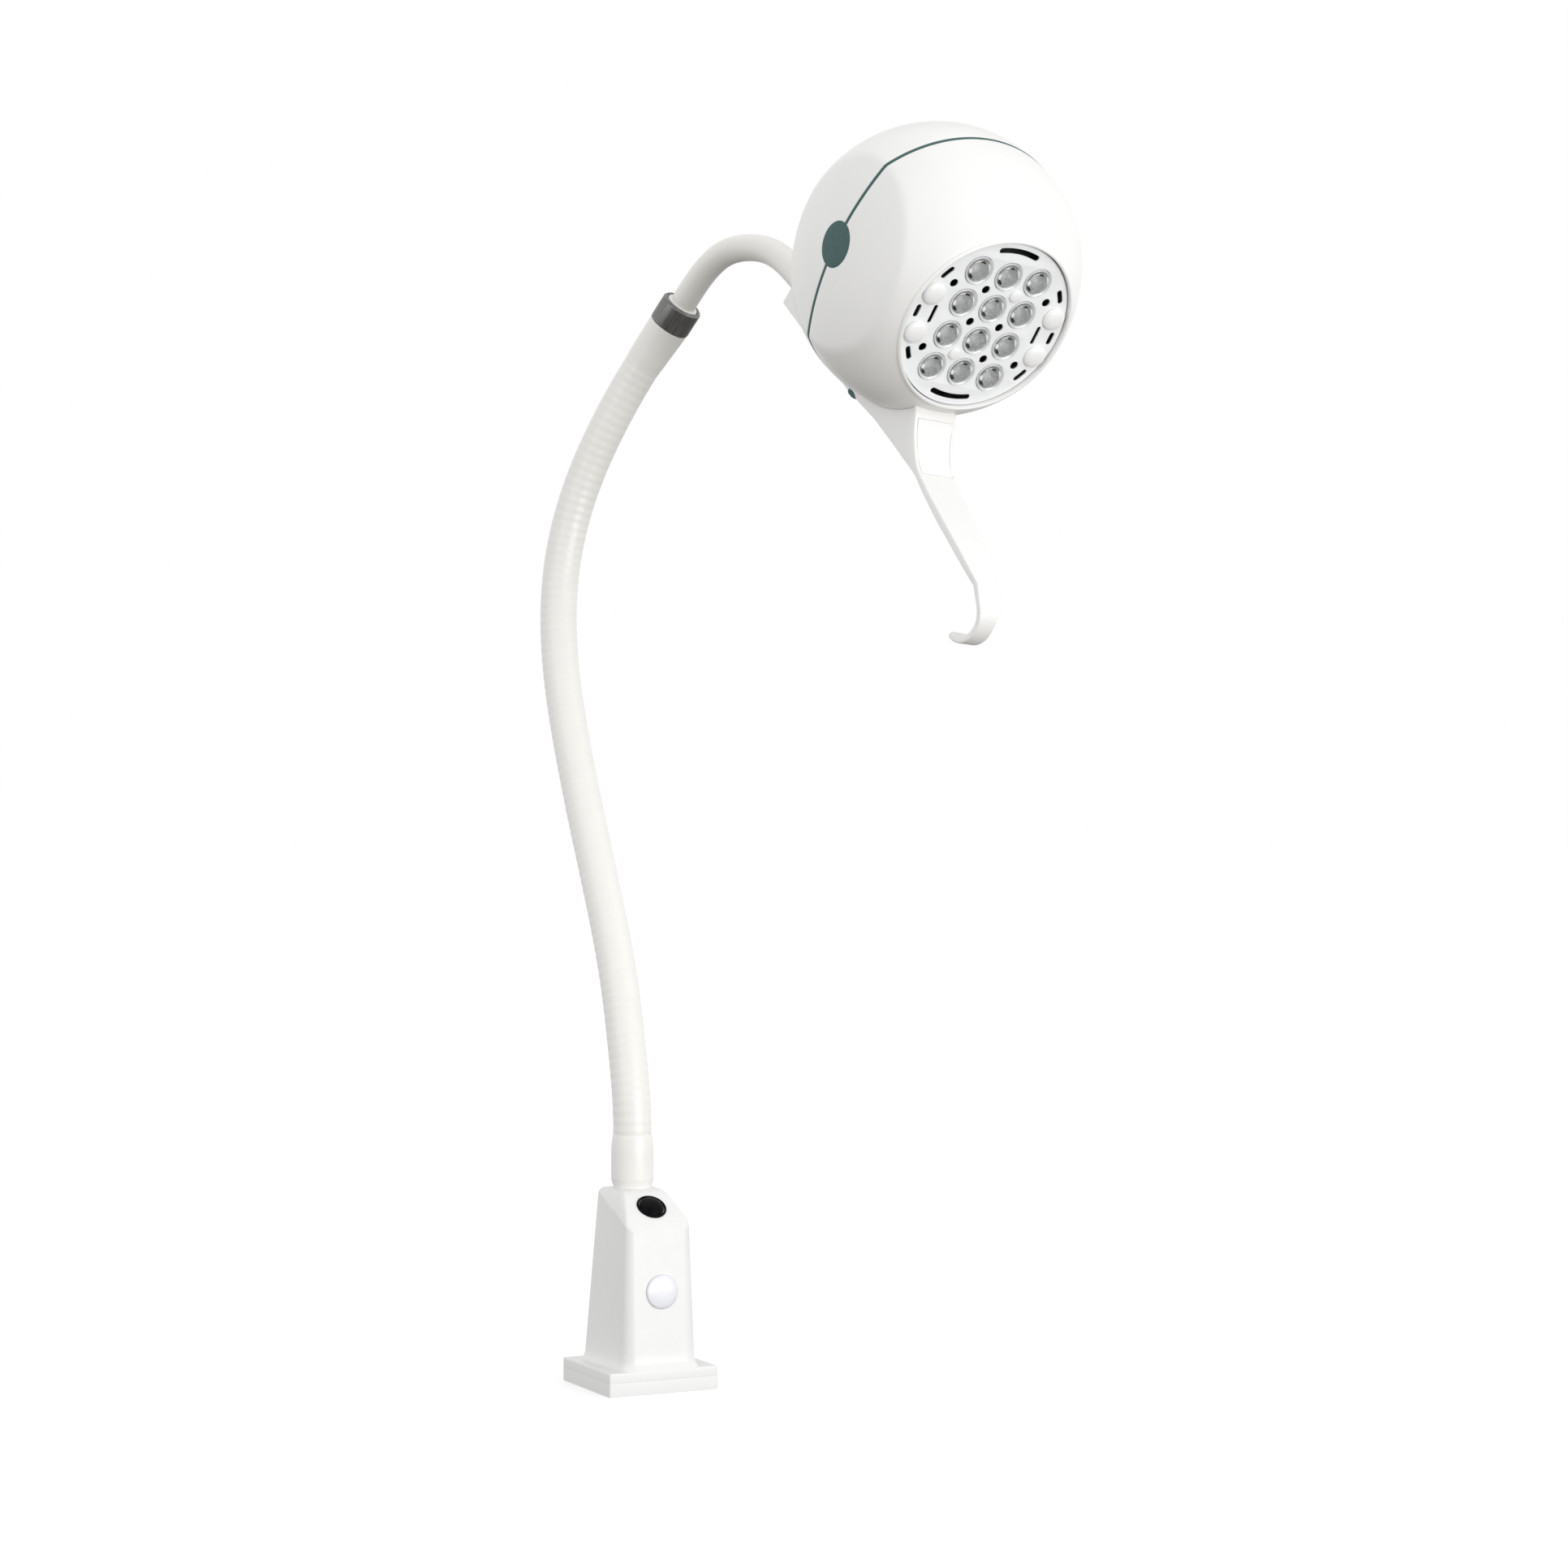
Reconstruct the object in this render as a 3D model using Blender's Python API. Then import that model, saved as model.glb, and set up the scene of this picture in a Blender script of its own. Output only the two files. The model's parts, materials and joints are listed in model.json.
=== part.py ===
"""Examination lamp: a foot plate and pedestal, a long gooseneck arm, a collar, a short
upper gooseneck and a round LED head with a hooked handle.

Metres, +Z up.  The origin is the centre of the foot's underside; -Y is the front face of
the pedestal and +X its right.  Head pieces are modelled in the head's own frame: its
origin is the centre of the ball, -Y is the way the light shines, +Z its top.
"""
import math

import bmesh
import bpy
import numpy as np
from mathutils import Euler, Matrix, Vector

GAP = 0.0003                      # clearance between touching pieces
PRESS_GAP = 0.0004                # clearance of round pieces inside round pieces

# foot and pedestal
FOOT_WIDTH = 0.0792
FOOT_CORNER = 0.0012
FOOT_EDGE = 0.0008                # bevel round the cover's top
FOOT_PLATE_HEIGHT = 0.0075
FOOT_COVER_TOP = 0.0156
FOOT_COVER_INSET = 0.0009
PEDESTAL_TOP = 0.132              # flat part of the roof, round the arm
PEDESTAL_WALL = 0.003
PEDESTAL_FRONT_HALF_FOOT = 0.0267 # half width at the front, at the foot
PEDESTAL_FRONT_HALF_TOP = 0.0228
PEDESTAL_REAR_HALF_FOOT = 0.0298
PEDESTAL_REAR_HALF_TOP = 0.0200
PEDESTAL_CORNER_FOOT = 0.0085
PEDESTAL_CORNER_TOP = 0.0050
PEDESTAL_FRONT_FOOT = -0.0368     # Y of the front face at the foot
PEDESTAL_FRONT_TOP = -0.0312      # Y of the front face at the roof's height
PEDESTAL_REAR_FOOT = 0.0320
PEDESTAL_REAR_TOP = 0.0275
SLOPE_START = -0.001              # Y where the roof starts to fall
SLOPE_ANGLE = math.radians(38)
ROOF_BEND = 0.010                 # length over which the roof bends from flat to sloping
NOSE_START = -0.0245              # Y where the slope starts to round over into the front
NOSE_CURVE = 45.0                 # fall of that rounding, per metre squared
BUTTON_Y = -0.0190                # Y of the push button on the sloping roof
BADGE_HEIGHT = 0.067
BADGE_RADIUS = 0.0115
GLAND_RISE = 0.016                # distance of the cable gland up the rear face

# arm
ARM_FOOT = Vector((0.0, 0.0126, 0.0))
SHEATH_RADIUS = 0.0130
SHEATH_BORE = 0.0090
CORE_RADIUS = 0.00845
CORE_BORE = 0.0052
LOWER_BALL = 0.0160
UPPER_RADIUS = 0.00925
UPPER_BORE = 0.0068
UPPER_CORE_RADIUS = 0.0062
UPPER_CORE_BORE = 0.0038
UPPER_BALL = 0.0120
BALL_GAP = 0.0006
SOCKET_FLOOR = 0.104
SHEATH_START = 0.142
COLLAR_LENGTH = 0.0188
COLLAR_RADIUS = 0.0148

# head
HEAD_CENTRE = Vector((0.121, -0.194, 0.7355))
HEAD_TURN = Euler((math.radians(36.8), math.radians(6.5), math.radians(4.4)), "YXZ")
HEAD_RADIUS = 0.0934
SHELL_WALL = 0.0026
SEAM_Y = 0.0010                   # plane of the joint between the two shells
SEAL_HALF = 0.0010
FACET_APEX = 0.0803               # how far the flattened side stands from the ball's centre
FACET_RADIUS = 0.191              # radius of the flattened side's shallow dome
FACET_RAISE = 0.0020              # height of the flattened sides' middle above the ball's
FACET_BLEND = 0.0015              # width of the soft edge between ball and flattened side
SIDE_CAP_RADIUS = 0.0150
RIM_POLAR = math.radians(40.6)    # where the front shell's skin ends at the rim
RIM_RADIUS = 0.0612
RIM_BORE = 0.0590
RIM_FRONT = 0.0725
PLATE_FRONT = 0.0694
PLATE_THICKNESS = 0.002
LENS_PITCH = 0.0232
LENS_RADIUS = 0.0091
VENT_HOLE_RADIUS = 0.0022
BOARD_RADIUS = 0.0545
HOOK_MIDDLE = (0.1838, -0.1415)   # ahead of and above the ball's centre
HOOK_INNER = 0.0158
HOOK_OUTER = 0.0202
SADDLE_RADIUS = HEAD_RADIUS + 0.0009    # the bracket's hollow under the ball
BRACKET_BOTTOM = 0.0957           # depth of the bracket's rear underside below the centre
BRACKET_REAR = 0.1155
ARM_AXIS_DROP = 0.0814            # depth of the arm's end below the ball's centre
ARM_END_Y = 0.074


# ---------------------------------------------------------------- general helpers
def clear_scene():
    for item in list(bpy.data.objects):
        bpy.data.objects.remove(item, do_unlink=True)


def material(name, colour, roughness, metallic=0.0):
    """One Principled material of its own for each named piece."""
    made = bpy.data.materials.new(name)
    made.use_nodes = True
    shader = made.node_tree.nodes["Principled BSDF"]
    shader.inputs["Base Color"].default_value = (*colour, 1.0)
    shader.inputs["Roughness"].default_value = roughness
    shader.inputs["Metallic"].default_value = metallic
    return made


WHITE_PAINT = ((0.86, 0.86, 0.85), 0.35, 0.0)
SHELL_WHITE = ((0.90, 0.90, 0.88), 0.30, 0.0)
SHEATH_WHITE = ((0.83, 0.82, 0.79), 0.40, 0.0)
GASKET_GREEN = ((0.075, 0.155, 0.150), 0.55, 0.0)
STEEL = ((0.20, 0.20, 0.19), 0.32, 1.0)
BRIGHT_STEEL = ((0.62, 0.62, 0.60), 0.35, 1.0)
ALUMINIUM = ((0.75, 0.75, 0.76), 0.40, 1.0)
SILVER_PAINT = ((0.68, 0.70, 0.72), 0.38, 0.3)
CLEAR = ((0.80, 0.82, 0.83), 0.08, 0.0)
BLACK = ((0.012, 0.012, 0.012), 0.30, 0.0)
BOARD = ((0.05, 0.20, 0.10), 0.50, 0.0)


def add_object(name, mesh, look, parent=None, place=None, smooth_angle=35):
    """Put a mesh in the scene as the piece `name`."""
    piece = bpy.data.objects.new(name, mesh)
    bpy.context.scene.collection.objects.link(piece)
    if parent is not None:
        piece.parent = parent
    if place is not None:
        piece.matrix_local = place
    if look is not None:
        mesh.materials.clear()
        mesh.materials.append(material(name, *look))
    mesh.shade_smooth()
    mesh.set_sharp_from_angle(angle=math.radians(smooth_angle))
    return piece


def make_mesh(name, vertices, faces):
    """A mesh whose faces all point outwards."""
    mesh = bpy.data.meshes.new(name)
    mesh.from_pydata([tuple(v) for v in vertices], [], faces)
    work = bmesh.new()
    work.from_mesh(mesh)
    bmesh.ops.recalc_face_normals(work, faces=work.faces)
    work.to_mesh(mesh)
    work.free()
    return mesh


def loft(name, rings, closed=False):
    """Skin a row of equal rings.  `closed` joins the last ring to the first (a tube with
    a bore); otherwise the first and last rings are capped."""
    count = len(rings[0])
    vertices = [point for ring in rings for point in ring]
    faces = []
    spans = len(rings) if closed else len(rings) - 1
    for i in range(spans):
        a = i * count
        b = ((i + 1) % len(rings)) * count
        for j in range(count):
            k = (j + 1) % count
            faces.append((a + j, a + k, b + k, b + j))
    if not closed:
        faces.append(tuple(range(count)))
        faces.append(tuple(range(len(vertices) - count, len(vertices))))
    return make_mesh(name, vertices, faces)


def turned(name, profile, sides):
    """Turn a profile of (radius, height) about +Z.  A profile that starts and ends on the
    axis is a solid piece; any other one is closed into a ring."""
    solid = profile[0][0] == 0 and profile[-1][0] == 0
    body = profile[1:-1] if solid else profile
    vertices = []
    for radius, height in body:
        for j in range(sides):
            angle = 2 * math.pi * j / sides
            vertices.append((radius * math.cos(angle), radius * math.sin(angle), height))
    faces = []
    spans = len(body) - 1 if solid else len(body)
    for i in range(spans):
        a = i * sides
        b = ((i + 1) % len(body)) * sides
        for j in range(sides):
            k = (j + 1) % sides
            faces.append((a + j, a + k, b + k, b + j))
    if solid:
        for height, a in ((profile[0][1], 0), (profile[-1][1], (len(body) - 1) * sides)):
            vertices.append((0.0, 0.0, height))
            tip = len(vertices) - 1
            for j in range(sides):
                faces.append((a + j, a + (j + 1) % sides, tip))
    return make_mesh(name, vertices, faces)


def facing(direction, place=(0, 0, 0)):
    """A matrix that stands a turned piece's +Z along `direction` at `place`."""
    turn = Vector(direction).to_track_quat("Z", "Y").to_matrix().to_4x4()
    return Matrix.Translation(Vector(place)) @ turn


def cut(target, cutter):
    """Subtract a hidden cutter from a piece."""
    cutter.hide_render = True
    cutter.display_type = "WIRE"
    change = target.modifiers.new("cut_" + cutter.name, "BOOLEAN")
    change.operation = "DIFFERENCE"
    change.solver = "EXACT"
    change.object = cutter


def drill(target, name, radius, start, end, sides=24, parent=None):
    """A straight round hole through a piece, from `start` to `end`."""
    start = Vector(start)
    end = Vector(end)
    length = (end - start).length
    mesh = turned(name, [(0, 0), (radius, 0), (radius, length), (0, length)], sides)
    cut(target, add_object(name, mesh, None, parent, facing(end - start, start)))


def rounded_box(width, depth, low, high, radius, top_bevel, steps=3):
    """A slab with round vertical corners and a bevelled top edge."""
    def ring(shrink, height):
        points = []
        for quarter in range(4):
            sx = (1, -1, -1, 1)[quarter]
            sy = (1, 1, -1, -1)[quarter]
            for step in range(steps + 1):
                angle = math.pi / 2 * (quarter + step / steps)
                x = sx * (width / 2 - radius) + (radius - shrink) * math.cos(angle)
                y = sy * (depth / 2 - radius) + (radius - shrink) * math.sin(angle)
                points.append((x, y, height))
        return points
    rings = [ring(0, low), ring(0, high - top_bevel), ring(top_bevel, high)]
    return loft("slab", rings)


# ---------------------------------------------------------------- foot and pedestal
def make_foot():
    plate = rounded_box(FOOT_WIDTH, FOOT_WIDTH, 0, FOOT_PLATE_HEIGHT, FOOT_CORNER, FOOT_EDGE)
    add_object("mounting_plate", plate, WHITE_PAINT)
    side = FOOT_WIDTH - 2 * FOOT_COVER_INSET
    low = FOOT_PLATE_HEIGHT + GAP
    cover = rounded_box(side, side, low, FOOT_COVER_TOP, FOOT_CORNER, FOOT_EDGE)
    add_object("foot_cover", cover, WHITE_PAINT)


def roof_height(y):
    """Height of the pedestal's roof: flat round the arm, falling to the front, and
    rounding over into the front face."""
    t = min(max((SLOPE_START - y) / ROOF_BEND, 0.0), 1.0)
    fall = math.tan(SLOPE_ANGLE)
    drop = fall * ROOF_BEND * t * t / 2
    if y < SLOPE_START - ROOF_BEND:
        drop += fall * (SLOPE_START - ROOF_BEND - y)
    nose = max(0.0, NOSE_START - y)
    return PEDESTAL_TOP - drop - NOSE_CURVE * nose * nose


def pedestal_side(height, inset):
    """Right-hand half of the pedestal's section at one height, front to rear."""
    t = (height - FOOT_COVER_TOP) / (PEDESTAL_TOP - FOOT_COVER_TOP)

    def at_height(foot, top):
        return foot + t * (top - foot)

    front_half = at_height(PEDESTAL_FRONT_HALF_FOOT, PEDESTAL_FRONT_HALF_TOP) - inset
    rear_half = at_height(PEDESTAL_REAR_HALF_FOOT, PEDESTAL_REAR_HALF_TOP) - inset
    front = at_height(PEDESTAL_FRONT_FOOT, PEDESTAL_FRONT_TOP) + inset
    rear = at_height(PEDESTAL_REAR_FOOT, PEDESTAL_REAR_TOP) - inset
    corner = at_height(PEDESTAL_CORNER_FOOT, PEDESTAL_CORNER_TOP) - inset * 0.8
    points = []
    for step in range(4):
        angle = -math.pi / 2 + math.pi / 2 * step / 3
        points.append((front_half - corner + corner * math.cos(angle),
                       front + corner + corner * math.sin(angle)))
    for share in (0.25, 0.45, 0.7):
        points.append((front_half + share * (rear_half - front_half),
                       front + corner + share * (rear - front - 2 * corner)))
    for step in range(4):
        angle = math.pi / 2 * step / 3
        points.append((rear_half - corner + corner * math.cos(angle),
                       rear - corner + corner * math.sin(angle)))
    return points


def pedestal_skin(inset, low, roof_drop):
    """Rings of one skin of the pedestal, from its open foot to its roof."""
    steps = 4
    rings = []
    for step in range(steps + 1):
        ring = []
        for sign in (1, -1):
            side = pedestal_side(low, inset)
            order = range(len(side)) if sign == 1 else reversed(range(len(side)))
            for i in order:
                y = side[i][1]
                top = roof_height(y) - roof_drop
                for _ in range(3):
                    height = low + (top - low) * step / steps
                    x, y = pedestal_side(height, inset)[i]
                    top = roof_height(y) - roof_drop
                ring.append((sign * x, y, low + (top - low) * step / steps))
        rings.append(ring)
    return rings


def make_pedestal():
    low = FOOT_COVER_TOP + GAP
    outer = pedestal_skin(0.0, low, 0.0)
    inner = pedestal_skin(PEDESTAL_WALL, low, PEDESTAL_WALL)
    count = len(outer[0])
    half = count // 2
    rings = outer[::-1] + inner
    vertices = [point for ring in rings for point in ring]
    faces = []
    for i in range(len(rings) - 1):
        for j in range(count):
            k = (j + 1) % count
            a = i * count
            b = a + count
            faces.append((a + j, a + k, b + k, b + j))
    for start in (0, len(vertices) - count):
        for j in range(half - 1):
            left = count - 1 - j
            faces.append((start + j, start + j + 1, start + left - 1, start + left))
    mesh = make_mesh("pedestal_housing", vertices, faces)
    housing = add_object("pedestal_housing", mesh, WHITE_PAINT)
    foot = ARM_FOOT
    drill(housing, "arm_hole", 0.0120, foot + Vector((0, 0, 0.12)), foot + Vector((0, 0, 0.15)))
    centre, normal = button_seat()
    drill(housing, "button_hole", 0.0097, centre - normal * 0.012, centre + normal * 0.012)
    gland, outward = gland_seat()
    drill(housing, "gland_hole", 0.0059, gland - outward * 0.01, gland + outward * 0.01)


def button_seat():
    """Centre and outward normal of the push button on the sloping roof."""
    centre = Vector((0, BUTTON_Y, roof_height(BUTTON_Y)))
    return centre, Vector((0, -math.sin(SLOPE_ANGLE), math.cos(SLOPE_ANGLE)))


def front_seat(height):
    """Point and outward normal of the front face at one height."""
    low = Vector((0, PEDESTAL_FRONT_FOOT, FOOT_COVER_TOP))
    high = Vector((0, PEDESTAL_FRONT_TOP, PEDESTAL_TOP))
    along = (high - low).normalized()
    return low + along * (height - FOOT_COVER_TOP), Vector((0, -along.z, along.y))


def gland_seat():
    """Point and outward normal of the supply gland low on the rear face."""
    low = Vector((0, PEDESTAL_REAR_FOOT, FOOT_COVER_TOP))
    high = Vector((0, PEDESTAL_REAR_TOP, PEDESTAL_TOP))
    along = (high - low).normalized()
    return low + along * GLAND_RISE, Vector((0, along.z, -along.y))


def make_pedestal_fittings(button_joint):
    centre, normal = button_seat()
    cup = [(0.0102, GAP), (0.0102, 0.0009), (0.0096, 0.0014), (0.0086, 0.0014),
           (0.0086, -0.0030), (0.0044, -0.0030), (0.0044, -0.0112), (0, -0.0112)]
    outside = [(0, -0.0130), (0.0064, -0.0130), (0.0064, -0.0046), (0.0093, -0.0046), (0.0093, GAP)]
    add_object("switch_body", turned("switch_body", outside + cup, 24), BLACK, None,
               facing(normal, centre))
    cap = [(0, -0.0086), (0.0040, -0.0086), (0.0040, -0.0006), (0.0081, -0.0006),
           (0.0081, 0.0008), (0.0074, 0.0017), (0.0058, 0.0024), (0.0032, 0.0029), (0, 0.0030)]
    turn = facing(normal)
    add_object("switch_button", turned("switch_button", cap, 24), BLACK, button_joint, turn)

    spot, outward = front_seat(BADGE_HEIGHT)
    disc = [(0, GAP), (BADGE_RADIUS, GAP), (BADGE_RADIUS, 0.0008), (BADGE_RADIUS - 0.001, 0.0013),
            (BADGE_RADIUS / 2, 0.0017), (0, 0.0018)]
    add_object("badge_disc", turned("badge_disc", disc, 32), CLEAR, None,
               facing(outward, spot))

    spot, outward = gland_seat()
    wall = PEDESTAL_WALL
    gland = [(0.0028, -wall - 0.004), (0.0056, -wall - 0.004), (0.0056, GAP),
             (0.0082, GAP), (0.0082, 0.002), (0.0050, 0.005), (0.0028, 0.005)]
    add_object("cable_gland", turned("cable_gland", gland, 20), BLACK, None,
               facing(outward, spot))

    low = SOCKET_FLOOR
    top = PEDESTAL_TOP
    bush = [(0.0088, low), (0.0128, low), (0.0128, low + 0.004), (0.0116, low + 0.004),
            (0.0116, top - GAP), (0.0088, top - GAP)]
    place = Matrix.Translation(ARM_FOOT)
    add_object("arm_socket", turned("arm_socket", bush, 20), BRIGHT_STEEL, None, place)
    sleeve = [(0.0088, top + GAP), (0.0119, top + GAP), (0.0125, 0.1345), (0.0136, 0.139),
              (0.0143, 0.146), (0.0143, 0.160), (0.0139, 0.1680), (0.0134, 0.1680),
              (0.0134, SHEATH_START - GAP), (0.0088, SHEATH_START - GAP)]
    add_object("root_sleeve", turned("root_sleeve", sleeve, 24), SHEATH_WHITE, None, place)

    block = rounded_box(0.034, 0.022, 0.024, 0.078, 0.002, 0.001, 2)
    add_object("driver_module", block, BLACK, None, Matrix.Translation((0, -0.012, 0)))


# ---------------------------------------------------------------- arm centre line
def head_point(x, y, z):
    """A point given in the head's frame, in the lamp's frame."""
    return HEAD_CENTRE + HEAD_TURN.to_matrix() @ Vector((x, y, z))


def smooth_through(points, start_slope, end_slope, step):
    """A clamped cubic spline through the points, as closely spaced positions."""
    knots = np.array([tuple(point) for point in points])
    gaps = np.linalg.norm(np.diff(knots, axis=0), axis=1)
    count = len(knots)
    system = np.zeros((count, count))
    target = np.zeros((count, 3))
    system[0, 0] = 1
    system[-1, -1] = 1
    target[0] = start_slope
    target[-1] = end_slope
    for i in range(1, count - 1):
        before = gaps[i - 1]
        after = gaps[i]
        system[i, i - 1] = after
        system[i, i] = 2 * (before + after)
        system[i, i + 1] = before
        target[i] = 3 * (after / before * (knots[i] - knots[i - 1])
                         + before / after * (knots[i + 1] - knots[i]))
    slopes = np.linalg.solve(system, target)
    line = []
    for i in range(count - 1):
        pieces = max(2, int(gaps[i] / step))
        for n in range(pieces):
            t = n / pieces
            a = 2 * t ** 3 - 3 * t ** 2 + 1
            b = t ** 3 - 2 * t ** 2 + t
            c = -2 * t ** 3 + 3 * t ** 2
            d = t ** 3 - t ** 2
            line.append(a * knots[i] + b * gaps[i] * slopes[i]
                        + c * knots[i + 1] + d * gaps[i] * slopes[i + 1])
    line.append(knots[-1])
    return line


class ArmLine:
    """The arm's centre line, measured by its length from the socket's floor."""

    # The bends of the arm as it is set at rest, hand to hand from foot to head.
    ROUTE = [(0, 0.0126, 0.170), (0, 0.0205, 0.221), (0, 0.0368, 0.2755), (0, 0.0630, 0.330),
             (0.0005, 0.0945, 0.386), (0.001, 0.1240, 0.444), (0.0015, 0.1435, 0.502),
             (0.006, 0.1500, 0.560), (0.018, 0.1420, 0.618), (0.0335, 0.1260, 0.664),
             (0.0505, 0.1080, 0.703), (0.0660, 0.0845, 0.737), (0.0735, 0.0620, 0.760),
             (0.0810, 0.0370, 0.7745), (0.0885, 0.0130, 0.776), (0.0945, -0.0120, 0.7695)]
    COLLAR = 11                    # the route's point in the middle of the collar

    def __init__(self):
        entry = head_point(0, BRACKET_REAR + 0.004, -ARM_AXIS_DROP)
        end = head_point(0, ARM_END_Y, -ARM_AXIS_DROP)
        inward = (end - entry).normalized()
        points = [Vector(point) for point in self.ROUTE] + [entry]
        line = smooth_through(points, (0, 0, 1), inward, 0.002)
        foot = ARM_FOOT + Vector((0, 0, SOCKET_FLOOR + 0.001))
        line = [np.array(foot)] + line + [np.array(end)]
        self.points = np.array(line)
        steps = np.linalg.norm(np.diff(self.points, axis=0), axis=1)
        self.lengths = np.concatenate([[0.0], np.cumsum(steps)])
        self.total = self.lengths[-1]
        self.across = self.carry_across()
        collar = np.linalg.norm(self.points - np.array(self.ROUTE[self.COLLAR]), axis=1)
        self.collar = self.lengths[int(np.argmin(collar))]

    def tangent_at(self, i):
        a = max(i - 1, 0)
        b = min(i + 1, len(self.points) - 1)
        away = self.points[b] - self.points[a]
        return away / np.linalg.norm(away)

    def carry_across(self):
        """A cross direction carried along the line without twist."""
        across = np.array([1.0, 0.0, 0.0])
        carried = []
        for i in range(len(self.points)):
            along = self.tangent_at(i)
            across = across - along * np.dot(across, along)
            across = across / np.linalg.norm(across)
            carried.append(across)
        return np.array(carried)

    def frame(self, length):
        """Centre, direction, cross direction and the third axis at one length."""
        centre = np.array([np.interp(length, self.lengths, self.points[:, k]) for k in range(3)])
        across = np.array([np.interp(length, self.lengths, self.across[:, k]) for k in range(3)])
        ahead = np.array([np.interp(length + 0.003, self.lengths, self.points[:, k])
                          for k in range(3)])
        behind = np.array([np.interp(length - 0.003, self.lengths, self.points[:, k])
                           for k in range(3)])
        along = (ahead - behind) / np.linalg.norm(ahead - behind)
        across = across - along * np.dot(across, along)
        across = across / np.linalg.norm(across)
        return centre, along, across, np.cross(along, across)

    def skin(self, length, radius, angle):
        """A point on a tube of this radius round the centre line."""
        centre, _, across, third = self.frame(length)
        return centre + radius * (math.cos(angle) * across + math.sin(angle) * third)

    def at_distance(self, joint, reach, radius, angle):
        """The length, beyond a joint, where the tube's wall is `reach` from its centre."""
        heart = self.frame(joint)[0]
        near = joint
        far = joint + reach * 1.2
        for _ in range(24):
            middle = (near + far) / 2
            if np.linalg.norm(self.skin(middle, radius, angle) - heart) < reach:
                near = middle
            else:
                far = middle
        return (near + far) / 2


class Stretch:
    """One rigid stretch of arm between two joints, or between a joint and a fixed end."""

    def __init__(self, line, start, end, ball, start_is_joint, end_is_joint):
        self.line = line
        self.start = start
        self.end = end
        self.ball = ball
        self.start_is_joint = start_is_joint
        self.end_is_joint = end_is_joint

    def wall(self, radius, sides, steps):
        """Rings along one wall.  A jointed start is a cup and a jointed end a dome, both
        centred on their joint, so that neighbours turn without touching."""
        columns = []
        for j in range(sides):
            angle = 2 * math.pi * j / sides
            low = self.start
            high = self.end
            if self.start_is_joint:
                low = self.line.at_distance(low, self.ball + BALL_GAP, radius, angle)
            if self.end_is_joint:
                high = self.line.at_distance(high, self.ball, radius, angle)
            columns.append([self.line.skin(low + (high - low) * n / steps, radius, angle)
                            for n in range(steps + 1)])
        return [[columns[j][n] for j in range(sides)] for n in range(steps + 1)]

    def tube(self, name, radius, bore, sides, steps, look, joint, origin):
        rings = self.wall(radius, sides, steps) + self.wall(bore, sides, steps)[::-1]
        shift = np.array(origin)
        rings = [[point - shift for point in ring] for ring in rings]
        add_object(name, loft(name, rings, closed=True), look, joint)


def joint_empty(name, place, parent, parent_place):
    """An empty on a joint's centre, which carries every piece beyond the joint."""
    empty = bpy.data.objects.new(name, None)
    bpy.context.scene.collection.objects.link(empty)
    empty.empty_display_size = 0.02
    empty.location = Vector(place)
    if parent is not None:
        empty.parent = parent
        empty.location = Vector(place) - Vector(parent_place)
    return empty


LOWER_JOINTS = (0.095, 0.240, 0.385, 0.530)       # lengths along the arm
UPPER_JOINTS = (0.030, 0.072, 0.114)              # lengths beyond the collar's middle


def make_arm():
    """Both goosenecks, their joints and the collar.  Returns the head's joint and place."""
    line = ArmLine()
    collar = line.collar
    joints = list(LOWER_JOINTS) + [collar + offset for offset in UPPER_JOINTS]
    carrier = None
    place = Vector((0, 0, 0))
    for index in range(5):
        first = index == 0
        last = index == 4
        start = SHEATH_START - SOCKET_FLOOR - 0.001 if first else joints[index - 1]
        end = collar - 0.001 if last else joints[index]
        if not first:
            here = Vector(line.frame(joints[index - 1])[0])
            carrier = joint_empty("lower_joint_%d" % index, here, carrier, place)
            place = here
        sheath = Stretch(line, start, end, LOWER_BALL, not first, not last)
        sheath.tube("lower_sheath_%d" % (index + 1), SHEATH_RADIUS, SHEATH_BORE, 16,
                    8 if last else 4, SHEATH_WHITE, carrier, place)
        core_start = 0.0 if first else start
        core = Stretch(line, core_start, end, LOWER_BALL, not first, not last)
        core.tube("lower_core_%d" % (index + 1), CORE_RADIUS, CORE_BORE, 8,
                  6 if first else 8 if last else 4, BRIGHT_STEEL, carrier, place)
    make_collar(line, carrier, place)
    for index in range(4):
        first = index == 0
        last = index == 3
        start = collar + 0.0006 if first else joints[3 + index]
        end = line.total - 0.0005 if last else joints[4 + index]
        if not first:
            here = Vector(line.frame(joints[3 + index])[0])
            carrier = joint_empty("upper_joint_%d" % index, here, carrier, place)
            place = here
        stretch = Stretch(line, start, end, UPPER_BALL, not first, not last)
        steps = 3 if first else 5
        stretch.tube("upper_sheath_%d" % (index + 1), UPPER_RADIUS, UPPER_BORE, 16, steps,
                     SHEATH_WHITE, carrier, place)
        stretch.tube("upper_core_%d" % (index + 1), UPPER_CORE_RADIUS, UPPER_CORE_BORE, 8,
                     steps, BRIGHT_STEEL, carrier, place)
    return carrier, place


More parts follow.
